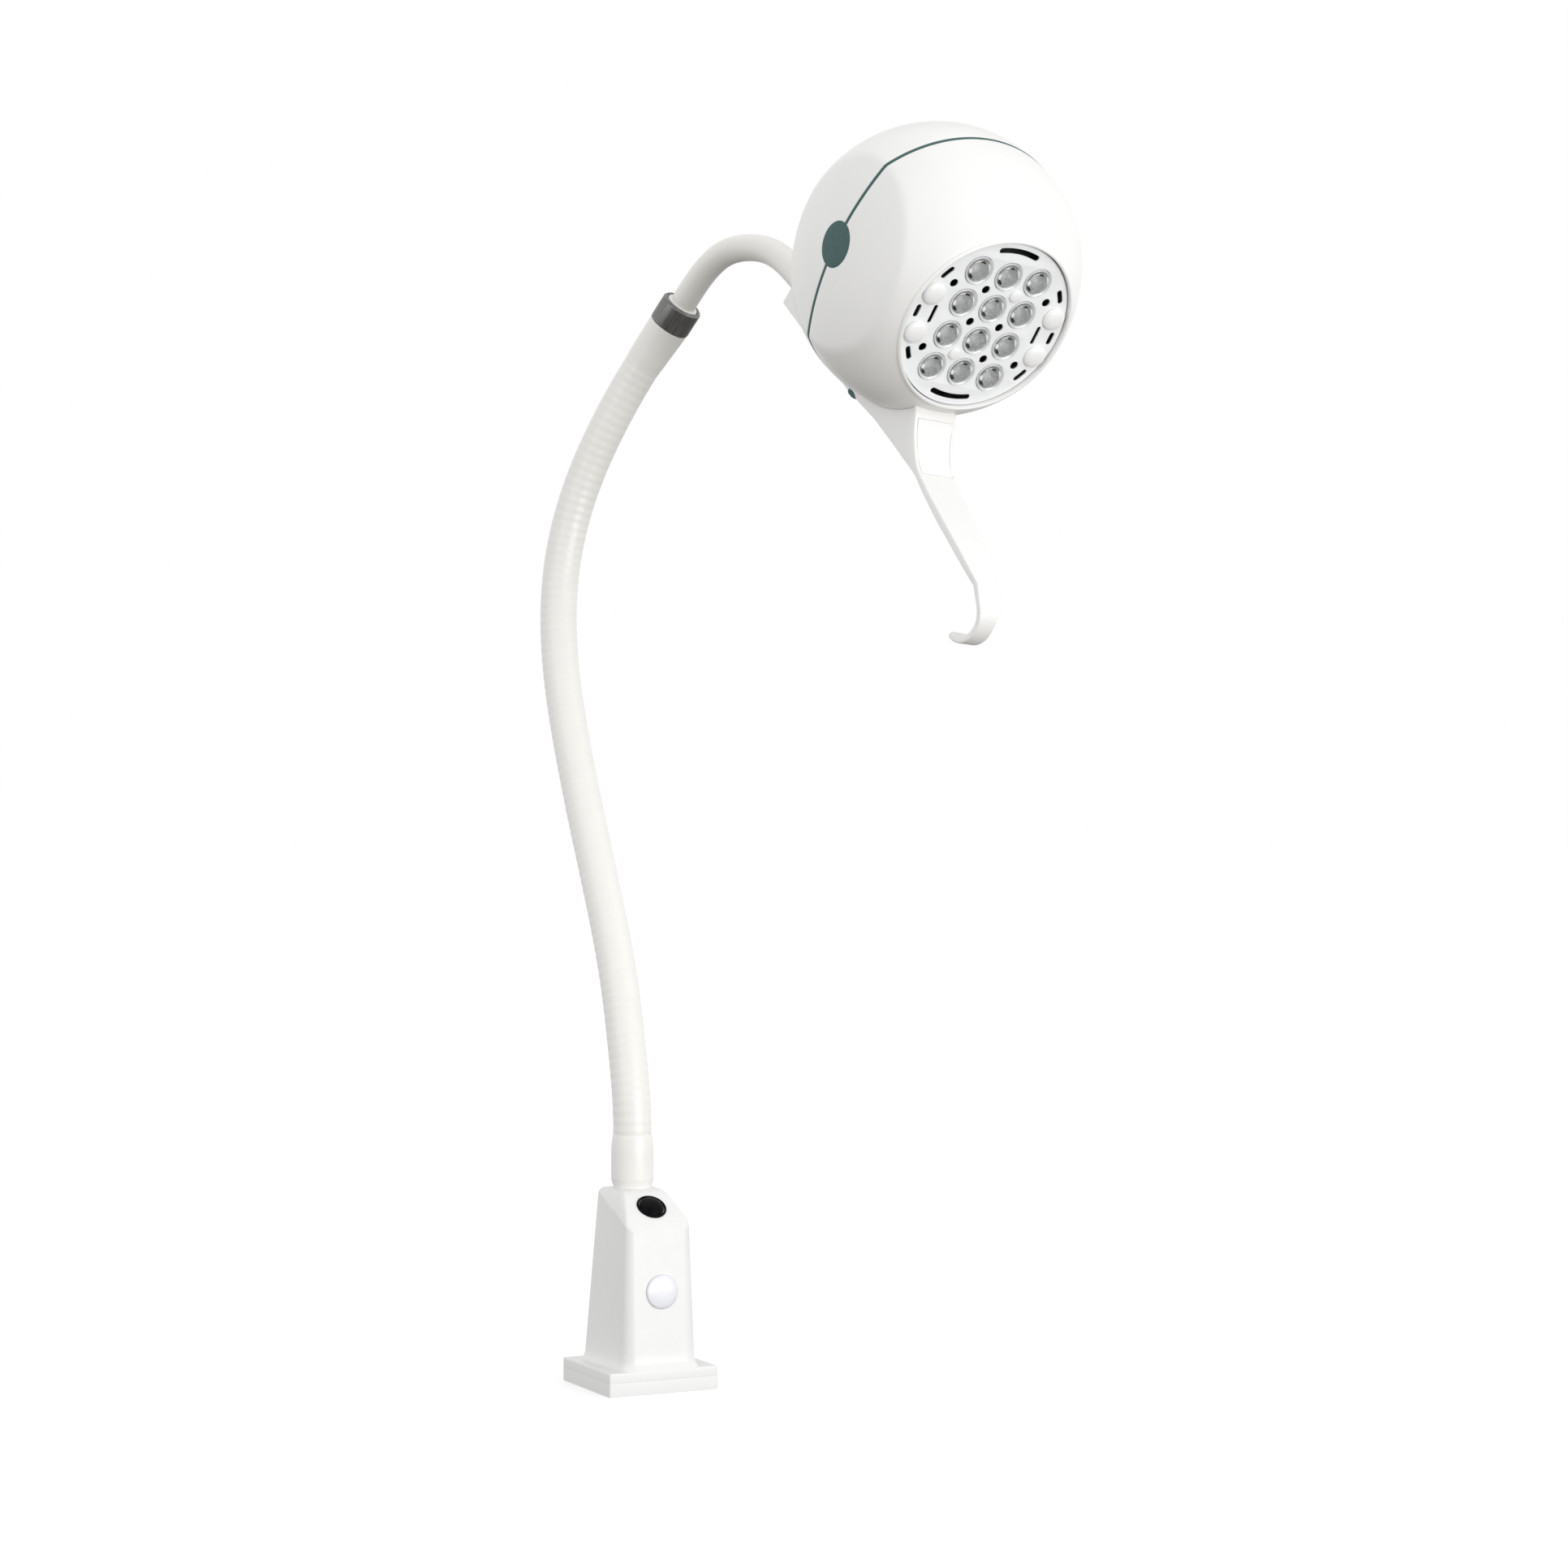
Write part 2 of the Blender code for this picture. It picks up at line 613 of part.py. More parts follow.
def make_collar(line, carrier, place):
    """The steel collar ring and the flared sleeve below it."""
    centre, along, _, _ = line.frame(line.collar)
    half = COLLAR_LENGTH / 2
    ring = [(0.0140, -half), (COLLAR_RADIUS, -half), (COLLAR_RADIUS, half - 0.0012),
            (COLLAR_RADIUS - 0.0010, half), (0.0118, half), (0.0112, half - 0.0012),
            (0.0098, half - 0.0012), (0.0098, half - 0.0040), (0.0140, half - 0.0040)]
    seat = facing(along, Vector(centre) - place)
    add_object("collar_ring", turned("collar_ring", ring, 28), STEEL, carrier, seat)
    sections = [(-0.044, 0.0139), (-0.036, 0.0141), (-0.028, 0.0143), (-0.020, 0.0145),
                (-half - 0.0016, 0.0146)]
    sides = 20
    outer = []
    inner = []
    for offset, radius in sections:
        angles = [2 * math.pi * j / sides for j in range(sides)]
        shift = np.array(place)
        length = line.collar + offset
        outer.append([line.skin(length, radius, angle) - shift for angle in angles])
        inner.append([line.skin(length, SHEATH_RADIUS + 0.00055, angle) - shift
                      for angle in angles])
    sleeve = loft("collar_sleeve", outer + inner[::-1], closed=True)
    add_object("collar_sleeve", sleeve, SHEATH_WHITE, carrier)


# ---------------------------------------------------------------- head shells
def shell_reach(direction, inset):
    """Distance from the middle of the seam plane to the shell's skin.  The ball's sides
    are flattened into shallow domes centred on the seam."""
    start = Vector((0, SEAM_Y, 0))
    direction = direction.normalized()
    along = start.dot(direction)
    ball = -along + math.sqrt(along ** 2 - start.length_squared + (HEAD_RADIUS - inset) ** 2)
    reach = ball
    for sign in (1, -1):
        centre = Vector((-sign * (FACET_RADIUS - FACET_APEX), SEAM_Y, FACET_RAISE)) - start
        toward = centre.dot(direction)
        facet = toward + math.sqrt(toward ** 2 - centre.length_squared
                                   + (FACET_RADIUS - inset) ** 2)
        mix = max(FACET_BLEND - abs(facet - reach), 0.0) / FACET_BLEND
        reach = min(facet, reach) - mix * mix * FACET_BLEND / 4
    return reach


def shell_ring(polar, sides, inset, shift_y=0.0):
    """One ring of skin, `polar` radians from straight ahead."""
    ring = []
    for j in range(sides):
        turn = 2 * math.pi * j / sides
        direction = Vector((math.sin(polar) * math.cos(turn), -math.cos(polar),
                            math.sin(polar) * math.sin(turn)))
        point = Vector((0, SEAM_Y, 0)) + direction * shell_reach(direction, inset)
        ring.append((point.x, point.y + shift_y, point.z))
    return ring


def circle_y(radius, y, sides):
    return [(radius * math.cos(2 * math.pi * j / sides), y,
             radius * math.sin(2 * math.pi * j / sides)) for j in range(sides)]


def make_shells(head):
    sides = 36
    edge = SEAL_HALF + GAP
    bands = 7
    span = RIM_POLAR - math.pi / 2
    outer = [shell_ring(math.pi / 2 + span * n / bands, sides, 0.0,
                        -edge * (1 - n / bands)) for n in range(bands + 1)]
    inner = [shell_ring(math.pi / 2 + span * n / bands, sides,
                        SHELL_WALL, -edge * (1 - n / bands)) for n in range(bands)]
    lip = [circle_y(RIM_RADIUS + 0.0004, -RIM_FRONT + 0.0018, sides),
           circle_y(RIM_RADIUS - 0.0012, -RIM_FRONT, sides),
           circle_y(RIM_BORE + 0.0003, -RIM_FRONT + 0.0002, sides),
           circle_y(RIM_BORE, -RIM_FRONT + 0.0080, sides),
           circle_y(RIM_BORE + 0.0026, -RIM_FRONT + 0.0084, sides)]
    front = loft("front_shell", outer + lip + inner[::-1], closed=True)
    add_object("front_shell", front, SHELL_WHITE, head, None, 40)

    bands = 8
    closing = math.radians(6)
    span = math.pi / 2 - closing
    outer = [shell_ring(math.pi / 2 + span * n / bands, sides, 0.0, edge * (1 - n / bands))
             for n in range(bands + 1)]
    inner = [shell_ring(math.pi / 2 + span * n / bands, sides, SHELL_WALL,
                        edge * (1 - n / bands)) for n in range(bands + 1)]
    rear = loft("rear_shell", outer[::-1] + inner)
    add_object("rear_shell", rear, SHELL_WHITE, head, None, 40)

    outer = shell_ring(math.pi / 2, 48, -0.0001)
    inner = shell_ring(math.pi / 2, 48, 0.0040)
    rings = [[(x, y + shift, z) for x, y, z in ring]
             for ring, shift in ((outer, -SEAL_HALF), (outer, SEAL_HALF),
                                 (inner, SEAL_HALF), (inner, -SEAL_HALF))]
    add_object("seal_ring", loft("seal_ring", rings, closed=True), GASKET_GREEN, head)

    wide = SIDE_CAP_RADIUS
    fall = wide ** 2 / (2 * FACET_RADIUS)
    cap = [(0, 0.0004), (wide / 2, 0.0004 - fall / 4), (wide, 0.0004 - fall),
           (wide, 0.0009 - fall), (wide - 0.0006, 0.0013 - fall),
           (wide / 2, 0.0014 - fall / 4), (0, 0.0014)]
    for name, sign in (("side_cap_right", 1), ("side_cap_left", -1)):
        add_object(name, turned(name, cap, 28), GASKET_GREEN, head,
                   facing((sign, 0, 0), (sign * FACET_APEX, SEAM_Y, FACET_RAISE)))


# ---------------------------------------------------------------- light unit
def slot_cutter(points, width):
    """The outline of a round-ended slot along a short row of points, as a prism."""
    half = width / 2
    outline = []
    path = [Vector(point) for point in points]
    for side, row in ((1, path), (-1, path[::-1])):
        for i, point in enumerate(row):
            ahead = row[min(i + 1, len(row) - 1)] - row[max(i - 1, 0)]
            normal = Vector((-ahead.y, ahead.x)).normalized()
            outline.append(point + normal * half)
        end = row[-1]
        ahead = (row[-1] - row[-2]).normalized()
        outline.append(end + ahead * half)
    return outline


def vent_slots():
    """Centre lines (x, z) and widths of the vent slots in the face plate."""
    slots = []
    for base in (90, -90):
        arc = [math.radians(base + a) for a in (-15, -7.5, 0, 7.5, 15)]
        slots.append(([(2.27 * math.cos(a), 2.27 * math.sin(a)) for a in arc], 0.0030))
    for base in (33, 147, 213, 327):
        arc = [math.radians(base + a) for a in (-3.6, 0, 3.6)]
        slots.append(([(2.30 * math.cos(a), 2.30 * math.sin(a)) for a in arc], 0.0026))
    for side in (1, -1):
        slots.append(([(2.29 * side, -0.12), (2.29 * side, 0.12)], 0.0026))
        slots.append(([(1.77 * side, -0.22), (1.77 * side, 0.22)], 0.0018))
    return slots


LENS_COLUMNS = (-1, 0, 1)
LENS_ROWS = (1.5, 0.5, -0.5, -1.5)
BIG_DOMES = ((2.06, 0.60), (2.06, -0.60), (-2.06, 0.60), (-2.06, -0.60))
SMALL_DOMES = ((0.5, 1.0), (-0.5, -1.0))
VENT_HOLES = ((1.58, 1.0), (1.58, -1.0), (-1.58, 1.0), (-1.58, -1.0), (0.5, 0.0),
              (-0.5, 0.0), (-0.5, 1.0), (0.5, -1.0))


def on_plate(column, row, y=-PLATE_FRONT):
    return Vector((column * LENS_PITCH, y, row * LENS_PITCH))


def make_light_unit(head):
    sides = 48
    plate = [circle_y(RIM_BORE - PRESS_GAP, y, sides)
             for y in (-PLATE_FRONT, -PLATE_FRONT + PLATE_THICKNESS)]
    plate = add_object("face_plate", loft("face_plate", plate), SILVER_PAINT, head)
    prisms = []
    for column in LENS_COLUMNS:
        for row in LENS_ROWS:
            centre = Vector((column, row)) * LENS_PITCH
            prisms.append([centre + Vector((math.cos(a), math.sin(a))) * (LENS_RADIUS + 0.0005)
                           for a in np.linspace(0, 2 * math.pi, 17)[:-1]])
    for column, row in VENT_HOLES:
        centre = Vector((column, row)) * LENS_PITCH
        prisms.append([centre + Vector((math.cos(a), math.sin(a))) * VENT_HOLE_RADIUS
                       for a in np.linspace(0, 2 * math.pi, 9)[:-1]])
    for points, width in vent_slots():
        prisms.append(slot_cutter([Vector(p) * LENS_PITCH for p in points], width))
    vertices = []
    faces = []
    for outline in prisms:
        count = len(outline)
        first = len(vertices)
        for y in (-PLATE_FRONT - 0.002, -PLATE_FRONT + PLATE_THICKNESS + 0.002):
            vertices += [(point.x, y, point.y) for point in outline]
        for j in range(count):
            k = (j + 1) % count
            faces.append((first + j, first + k, first + count + k, first + count + j))
        faces.append(tuple(range(first, first + count)))
        faces.append(tuple(range(first + count, first + 2 * count)))
    cutter = make_mesh("plate_openings", vertices, faces)
    cut(plate, add_object("plate_openings", cutter, None, head))

    # Heights of the lens and dome profiles run back from the light's front.
    lens = [(0, 0.0004), (0.0030, 0.0001), (0.0062, -0.0008), (0.0078, -0.0014),
            (0.0086, -0.0012), (LENS_RADIUS, -0.0004), (LENS_RADIUS, 0.0022),
            (0.0064, 0.0070), (0.0034, 0.0102), (0, 0.0102)]
    lens_mesh = turned("lens", [(radius, -depth) for radius, depth in lens], 14)
    lens_mesh.materials.append(material("lens", *CLEAR))
    number = 1
    for row in LENS_ROWS:
        for column in LENS_COLUMNS:
            add_object("lens_%d" % number, lens_mesh, None, head,
                       facing((0, -1, 0), on_plate(column, row)))
            number += 1
    for label, radius, spots in (("cover_dome", 0.0078, BIG_DOMES),
                                 ("screw_dome", 0.0042, SMALL_DOMES)):
        dome = [(0, GAP), (radius, GAP), (radius, radius * 0.10), (radius * 0.86, radius * 0.28),
                (radius * 0.5, radius * 0.42), (0, radius * 0.47)]
        mesh = turned(label, dome, 14)
        mesh.materials.append(material(label, *SHELL_WHITE))
        for n, (column, row) in enumerate(spots):
            add_object("%s_%d" % (label, n + 1), mesh, None, head,
                       facing((0, -1, 0), on_plate(column, row)))

    board = [circle_y(BOARD_RADIUS, -PLATE_FRONT + depth, 32) for depth in (0.0106, 0.0122)]
    add_object("led_board", loft("led_board", board), BOARD, head)
    make_heat_sink(head, -PLATE_FRONT + 0.0125)


def make_heat_sink(head, front):
    """A block with plain vertical fins behind the LED board."""
    half = 0.040
    base = 0.006
    depth = 0.030
    fins = 8
    pitch = 2 * half / (fins - 0.5)
    profile = [(-half, front), (half, front)]
    for n in reversed(range(fins)):
        left = -half + n * pitch
        right = left + pitch / 2
        if n < fins - 1:
            profile.append((right, front + base))
        profile += [(right, front + depth), (left, front + depth)]
        if n > 0:
            profile.append((left, front + base))
    rings = [[(x, y, z) for x, y in profile] for z in (-half, half)]
    add_object("heat_sink", loft("heat_sink", rings), ALUMINIUM, head)


# ---------------------------------------------------------------- bracket and handle
class Section:
    """One cut through the bracket: its lower and upper points (ahead, up) and half width."""

    def __init__(self, low, high, half):
        self.low = Vector(low)
        self.high = Vector(high)
        self.half = half


def bracket_sections():
    """Cuts along the bracket from its rear end, under the ball, to the handle's hook."""
    rear_top = -0.0690
    sections = [Section((-BRACKET_REAR, -BRACKET_BOTTOM), (-BRACKET_REAR + 0.003, rear_top), 0.0150),
                Section((-0.0900, -0.0965), (-0.0900, rear_top), 0.0155)]
    meets = math.acos(-rear_top / SADDLE_RADIUS)
    for lean in np.linspace(-meets, math.asin(0.0630 / SADDLE_RADIUS), 14):
        ahead = SADDLE_RADIUS * math.sin(lean)
        bottom = np.interp(ahead, (-0.065, -0.008, 0.030, 0.063),
                           (-0.0970, -0.0991, -0.0972, -0.0984))
        top = -SADDLE_RADIUS * math.cos(lean)
        sections.append(Section((ahead, bottom), (ahead, top), 0.0160))
    blade = [((0.0665, -0.0985), (0.0665, -0.0688), 0.0162),
             ((0.0740, -0.0991), (0.0715, -0.0765), 0.0160),
             ((0.0830, -0.0999), (0.0790, -0.0858), 0.0153),
             ((0.0920, -0.1010), (0.0905, -0.0950), 0.0148),
             ((0.1060, -0.1050), (0.1066, -0.1000), 0.0142),
             ((0.1275, -0.1100), (0.1288, -0.1044), 0.0136),
             ((0.1455, -0.1135), (0.1468, -0.1080), 0.0128),
             ((0.1602, -0.1166), (0.1622, -0.1112), 0.0118),
             ((0.1730, -0.1196), (0.1755, -0.1147), 0.0103),
             ((0.1838, -0.1226), (0.1872, -0.1186), 0.0082)]
    sections += [Section(*cut_line) for cut_line in blade]
    # The hook: a round bend that brings the ribbon back under itself.
    middle = Vector(HOOK_MIDDLE)
    for degrees in (48, 24, 0, -24, -48, -72, -92):
        angle = math.radians(degrees)
        outward = Vector((math.cos(angle), math.sin(angle)))
        sections.append(Section(middle + outward * HOOK_INNER, middle + outward * HOOK_OUTER,
                                0.0064))
    return sections


def section_ring(section, trim=0.0010):
    """The outline of one cut: a flat bar with chamfered edges."""
    up = (section.high - section.low)
    height = up.length
    up = up / height
    edge = min(trim, height * 0.25)
    ring = []
    for across, rise in ((section.half - edge, 0), (section.half, edge),
                         (section.half, height - edge), (section.half - edge, height),
                         (-section.half + edge, height), (-section.half, height - edge),
                         (-section.half, edge), (-section.half + edge, 0)):
        point = section.low + up * rise
        ring.append((across, -point.x, point.y))
    return ring


def make_bracket(head):
    rings = [section_ring(section) for section in bracket_sections()]
    bracket = add_object("head_bracket", loft("head_bracket", rings), SHELL_WHITE, head)
    axis = -ARM_AXIS_DROP
    drill(bracket, "arm_bore", UPPER_RADIUS + PRESS_GAP, (0, BRACKET_REAR + 0.01, axis),
          (0, ARM_END_Y - 0.001, axis), 24, head)
    drill(bracket, "clamp_bore", 0.0029, (0, 0.095, axis - 0.006), (0, 0.095, axis - 0.03), 12, head)
    screw = [(0, 0), (0.0025, 0), (0.0025, 0.0046), (0, 0.0046)]
    add_object("clamp_screw", turned("clamp_screw", screw, 12), BRIGHT_STEEL, head,
               facing((0, 0, -1), (0, 0.095, axis - UPPER_RADIUS - 0.0004)))
    make_panel(head, bracket)


def panel_rings(deep, proud, trim):
    """Rings of the inset cover on the bracket's front, between two depths."""
    rings = []
    line = [((0.0690, -0.0718), 0.0161), ((0.0735, -0.0792), 0.0158), ((0.0790, -0.0858), 0.0153),
            ((0.0860, -0.0921), 0.0150), ((0.0950, -0.0970), 0.0146)]
    points = [Vector(point) for point, _ in line]
    for i, (point, half) in enumerate(line):
        point = points[i]
        ahead = points[min(i + 1, len(points) - 1)] - points[max(i - 1, 0)]
        ahead.normalize()
        shift = ahead * (trim if i == 0 else -trim if i == len(line) - 1 else 0.0)
        outward = Vector((-ahead.y, ahead.x))
        if outward.x < 0:
            outward = -outward
        low = point + shift - outward * deep
        high = point + shift + outward * proud
        width = half - 0.0022 - trim
        rings.append([(-width, -low.x, low.y), (width, -low.x, low.y),
                      (width, -high.x, high.y), (-width, -high.x, high.y)])
    return rings


def make_panel(head, bracket):
    recess = loft("panel_recess", panel_rings(0.0016, 0.004, 0.0))
    cut(bracket, add_object("panel_recess", recess, None, head))
    cover = loft("handle_panel", panel_rings(0.0013, -0.0001, GAP))
    add_object("handle_panel", cover, SHELL_WHITE, head)


def make_head(carrier, place):
    head = bpy.data.objects.new("head_frame", None)
    bpy.context.scene.collection.objects.link(head)
    head.parent = carrier
    head.matrix_local = (Matrix.Translation(HEAD_CENTRE - place)
                         @ HEAD_TURN.to_matrix().to_4x4())
    make_shells(head)
    make_light_unit(head)
    make_bracket(head)


clear_scene()
make_foot()
make_pedestal()
make_pedestal_fittings(joint_empty("button_joint", button_seat()[0], None, None))
make_head(*make_arm())
bpy.context.view_layer.update()
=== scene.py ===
"""Looks of the examination lamp: fine shells, ribbed goosenecks, lenses and materials,
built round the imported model.  Metres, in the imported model's frame.

Head pieces are made in the head's own frame: its origin is the centre of the ball, -Y is
the way the light shines and +Z its top.
"""
import json
import math

import bmesh
import bpy
import numpy as np
from mathutils import Matrix, Vector


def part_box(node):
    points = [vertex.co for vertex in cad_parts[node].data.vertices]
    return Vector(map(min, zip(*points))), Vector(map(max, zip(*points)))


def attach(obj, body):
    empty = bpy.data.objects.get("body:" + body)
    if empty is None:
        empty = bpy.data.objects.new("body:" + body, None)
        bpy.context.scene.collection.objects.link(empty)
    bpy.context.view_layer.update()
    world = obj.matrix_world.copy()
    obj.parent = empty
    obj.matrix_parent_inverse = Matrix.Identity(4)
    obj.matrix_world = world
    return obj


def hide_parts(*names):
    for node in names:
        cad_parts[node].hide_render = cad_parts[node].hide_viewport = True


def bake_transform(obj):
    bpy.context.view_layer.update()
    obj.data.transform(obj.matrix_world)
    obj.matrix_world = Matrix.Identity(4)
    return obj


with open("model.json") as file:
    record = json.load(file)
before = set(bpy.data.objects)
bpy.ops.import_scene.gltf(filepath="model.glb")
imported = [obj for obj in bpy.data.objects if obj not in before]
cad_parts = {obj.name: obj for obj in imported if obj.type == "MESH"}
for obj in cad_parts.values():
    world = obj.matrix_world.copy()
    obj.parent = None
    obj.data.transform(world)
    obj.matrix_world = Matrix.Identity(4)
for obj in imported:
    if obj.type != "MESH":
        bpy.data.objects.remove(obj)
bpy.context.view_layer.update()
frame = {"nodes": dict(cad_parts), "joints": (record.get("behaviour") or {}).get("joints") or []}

# foot and pedestal
FOOT_CORNER = 0.0012
FOOT_LINE = 0.0092                         # height of the line between the foot's two slabs
PEDESTAL_FRONT_HALF = (0.0267, 0.0228)     # half widths at the foot and at the roof
PEDESTAL_REAR_HALF = (0.0298, 0.0200)
PEDESTAL_CORNER = (0.0085, 0.0050)
PEDESTAL_FRONT = (-0.0368, -0.0312)        # Y of the front face at the foot and the roof
PEDESTAL_REAR = (0.0320, 0.0275)
# Bevel round the roof: width and height of its curve at each Y, front to rear.
ROOF_EDGE_Y = (-0.0320, -0.0250, -0.0180, -0.0110, -0.0020, 0.0070, 0.0110, 0.0180, 0.0275)
ROOF_EDGE_WIDTH = (0.0014, 0.0030, 0.0055, 0.0078, 0.0086, 0.0076, 0.0066, 0.0048, 0.0034)
ROOF_EDGE_HEIGHT = (0.0006, 0.0040, 0.0072, 0.0100, 0.0118, 0.0090, 0.0070, 0.0042, 0.0024)
ROOF_BEND_START = -0.001
ROOF_BEND = 0.010
ROOF_SLOPE = math.radians(38)
ROOF_NOSE = -0.0245
ROOF_NOSE_CURVE = 45.0
BUTTON_Y = -0.0190
BEZEL_RADIUS = 0.0103
BUTTON_RADIUS = 0.0084
BUTTON_RISE = 0.0025
BADGE_HEIGHT = 0.067
BADGE_SHIFT = 0.0006
BADGE_RADIUS = 0.0114
BADGE_RISE = 0.0021
FLARE_REACH = 0.0022                       # curl of the pedestal's skin at the foot
FLARE_HEIGHT = 0.0065

# arm
SOCKET_FLOOR = 0.104
SHEATH_RADIUS = 0.0130
SHEATH_BORE = 0.0113
UPPER_RADIUS = 0.00925
UPPER_BORE = 0.0082
RIB_PITCH = 0.0064
RIB_DEPTH = 0.00013
FINE_RIB_PITCH = 0.0024
FINE_RIB_DEPTH = 0.00005
LOWER_BLEND = 0.055                        # reach of the last lower piece past its joint
UPPER_BLEND = 0.0175
COLLAR_LENGTH = 0.0188
COLLAR_RADIUS = 0.0148
SLEEVE_RADIUS = 0.0145                     # widest part of the sleeve round the arm's root

# head
HEAD_RADIUS = 0.0934
SHELL_WALL = 0.0026
SEAL_HALF = 0.0013
FACET_APEX = 0.0803
FACET_RADIUS = 0.191
FACET_RAISE = 0.0020
CREASE = (0.0005, 0.0015)                  # softness of the facet's edge, at and off the seam
RIM_RADIUS = 0.0612
RIM_BORE = 0.0590
ARM_AXIS_DROP = 0.0814
ARM_END_Y = 0.074
BRACKET_BOTTOM = 0.0957
LENS_PITCH = 0.0232
PLATE_THICKNESS = 0.0012
# Two painted dark reflections and two painted white glints in each lens cup: radii inside
# and out, start and stop angle.
CUP_PAINTED_DARK_REFLECTIONS = ((0.0057, 0.0074, 208, 242), (0.0055, 0.0066, 72, 106))
CUP_PAINTED_GLINTS = ((0.0059, 0.0076, 174, 203), (0.0064, 0.0076, 6, 56))
PAD_TOP = 0.0009
HOOK_MIDDLE = (0.1838, -0.1415)            # ahead and up
HOOK_INNER = 0.0158
HOOK_OUTER = 0.0202


# ---------------------------------------------------------------- materials
# Colour, roughness and metallic; size and amount of the tint and of the wear; size, depth
# and strength of the relief; other shader values.
LOOKS = {
    # white powder coat with a very fine orange peel
    "base_paint": ((0.785, 0.785, 0.78), 0.36, 0.0, (0.02, 0.015), (0.006, 0.05),
                   (0.0011, 0.00004, 0.5), {}),
    # satin moulded plastic of the head
    "shell_white": ((0.855, 0.853, 0.838), 0.33, 0.0, (0.03, 0.012), (0.008, 0.04),
                    (0.0009, 0.00002, 0.5), {"Coat Weight": 0.12, "Coat Roughness": 0.25}),
    # cream skin of the goosenecks, a little dusty
    "sheath_white": ((0.825, 0.814, 0.782), 0.36, 0.0, (0.012, 0.02), (0.003, 0.06),
                     (0.0008, 0.00003, 0.5), {"Coat Weight": 0.10, "Coat Roughness": 0.18}),
    # matt teal rubber
    "gasket_green": ((0.043, 0.110, 0.107), 0.60, 0.0, (0.004, 0.16), (0.003, 0.06),
                     (0.0005, 0.00003, 0.6), {}),
    # dark steel, brushed along its length
    "collar_steel": ((0.27, 0.27, 0.265), 0.33, 1.0, (0.00045, 0.55), (0.0005, 0.10),
                     (0.0004, 0.00003, 0.5), {"Anisotropic": 0.55}),
    # silver-white paint of the face plate
    "plate_silver": ((0.925, 0.935, 0.95), 0.34, 0.03, (0.010, 0.03), (0.003, 0.05),
                     (0.0005, 0.00002, 0.5), {}),
    # soft white silicone plugs, a little translucent; also the painted white glints in the lens cups
    "dome_white": ((0.90, 0.90, 0.895), 0.38, 0.0, (0.004, 0.02), (0.002, 0.05),
                   (0.0006, 0.00002, 0.5), {"Subsurface Weight": 0.15, "Subsurface Scale": 0.002}),
    # clear acrylic
    "lens_clear": ((0.97, 0.98, 0.98), 0.03, 0.0, None, (0.004, 0.02),
                   (0.0040, 0.00004, 0.25), {"Transmission Weight": 1.0, "IOR": 1.46}),
    # frosted flange that holds each lens
    "flange_clear": ((0.92, 0.93, 0.94), 0.10, 0.0, (0.002, 0.10), (0.002, 0.05),
                     (0.0012, 0.00006, 0.5), {"Transmission Weight": 0.30, "IOR": 1.48,
                                              "Coat Weight": 0.8, "Coat Roughness": 0.03}),
    # bright coated inside of the lens cups
    "reflector_silver": ((0.62, 0.625, 0.62), 0.26, 0.42, (0.0030, 0.12), (0.0020, 0.05),
                         (0.0030, 0.00012, 0.5), {}),
    # pale phosphor of the LEDs, unlit
    "led_yellow": ((0.52, 0.51, 0.44), 0.30, 0.0, (0.0008, 0.15), (0.0008, 0.05),
                   (0.0005, 0.00003, 0.5), {}),
    # glossy resin over plain white
    "badge_clear": ((0.80, 0.805, 0.84), 0.22, 0.0, (0.006, 0.02), (0.006, 0.04),
                    (0.006, 0.00001, 0.2), {"Coat Weight": 1.0, "Coat Roughness": 0.03}),
    # edge of the blank disc under the resin
    "badge_paper": ((0.56, 0.56, 0.63), 0.40, 0.0, (0.006, 0.04), (0.002, 0.04),
                    (0.0007, 0.00002, 0.5), {}),
    # glossy black plastic
    "switch_black": ((0.004, 0.004, 0.005), 0.12, 0.0, (0.003, 0.3), (0.003, 0.04),
                     (0.0012, 0.00001, 0.2), {"Specular IOR Level": 0.06}),
    # matt black inside the pedestal, and the painted dark reflections in the lens cups
    "inner_black": ((0.018, 0.018, 0.019), 0.55, 0.0, (0.004, 0.3), (0.004, 0.08),
                    (0.0009, 0.00004, 0.5), {}),
    # black solder mask of the LED board
    "board_dark": ((0.022, 0.030, 0.026), 0.42, 0.0, (0.0025, 0.5), (0.002, 0.08),
                   (0.0015, 0.00005, 0.5), {}),
    # plain metals inside
    "inner_steel": ((0.55, 0.55, 0.54), 0.35, 1.0, (0.006, 0.08), (0.004, 0.06),
                    (0.0007, 0.00003, 0.5), {}),
    "heat_sink_metal": ((0.62, 0.62, 0.63), 0.42, 1.0, (0.006, 0.08), (0.004, 0.06),
                        (0.0007, 0.00003, 0.5), {}),
    # pale floor, painted a little darker near the lamp as painted shade of the lights' falloff
    "floor_pale": ((0.90, 0.90, 0.90), 0.75, 0.0, None, (0.02, 0.05), None,
                   {"Emission Color": (1.0, 1.0, 1.0, 1.0), "Emission Strength": 0.21}),
}
BRUSHED = (1, 1, 0.03)                     # grain drawn out along a piece's own Z


def mixed(tree, share, colours):
    """A mix of two colours, each of them a plain colour or another node's output."""
    mix = tree.nodes.new("ShaderNodeMix")
    mix.data_type = "RGBA"
    tree.links.new(share, mix.inputs[0])
    for socket, colour in zip((mix.inputs[6], mix.inputs[7]), colours):
        if isinstance(colour, tuple):
            socket.default_value = (*colour, 1.0)
        else:
            tree.links.new(colour, socket)
    return mix.outputs[2]


def ranged(tree, source, start, end, low=0.0, high=1.0):
    """Map the values from `start` to `end` onto a range."""
    node = tree.nodes.new("ShaderNodeMapRange")
    node.inputs["From Min"].default_value = start
    node.inputs["From Max"].default_value = end
    node.inputs["To Min"].default_value = low
    node.inputs["To Max"].default_value = high
    tree.links.new(source, node.inputs["Value"])
    return node.outputs["Result"]


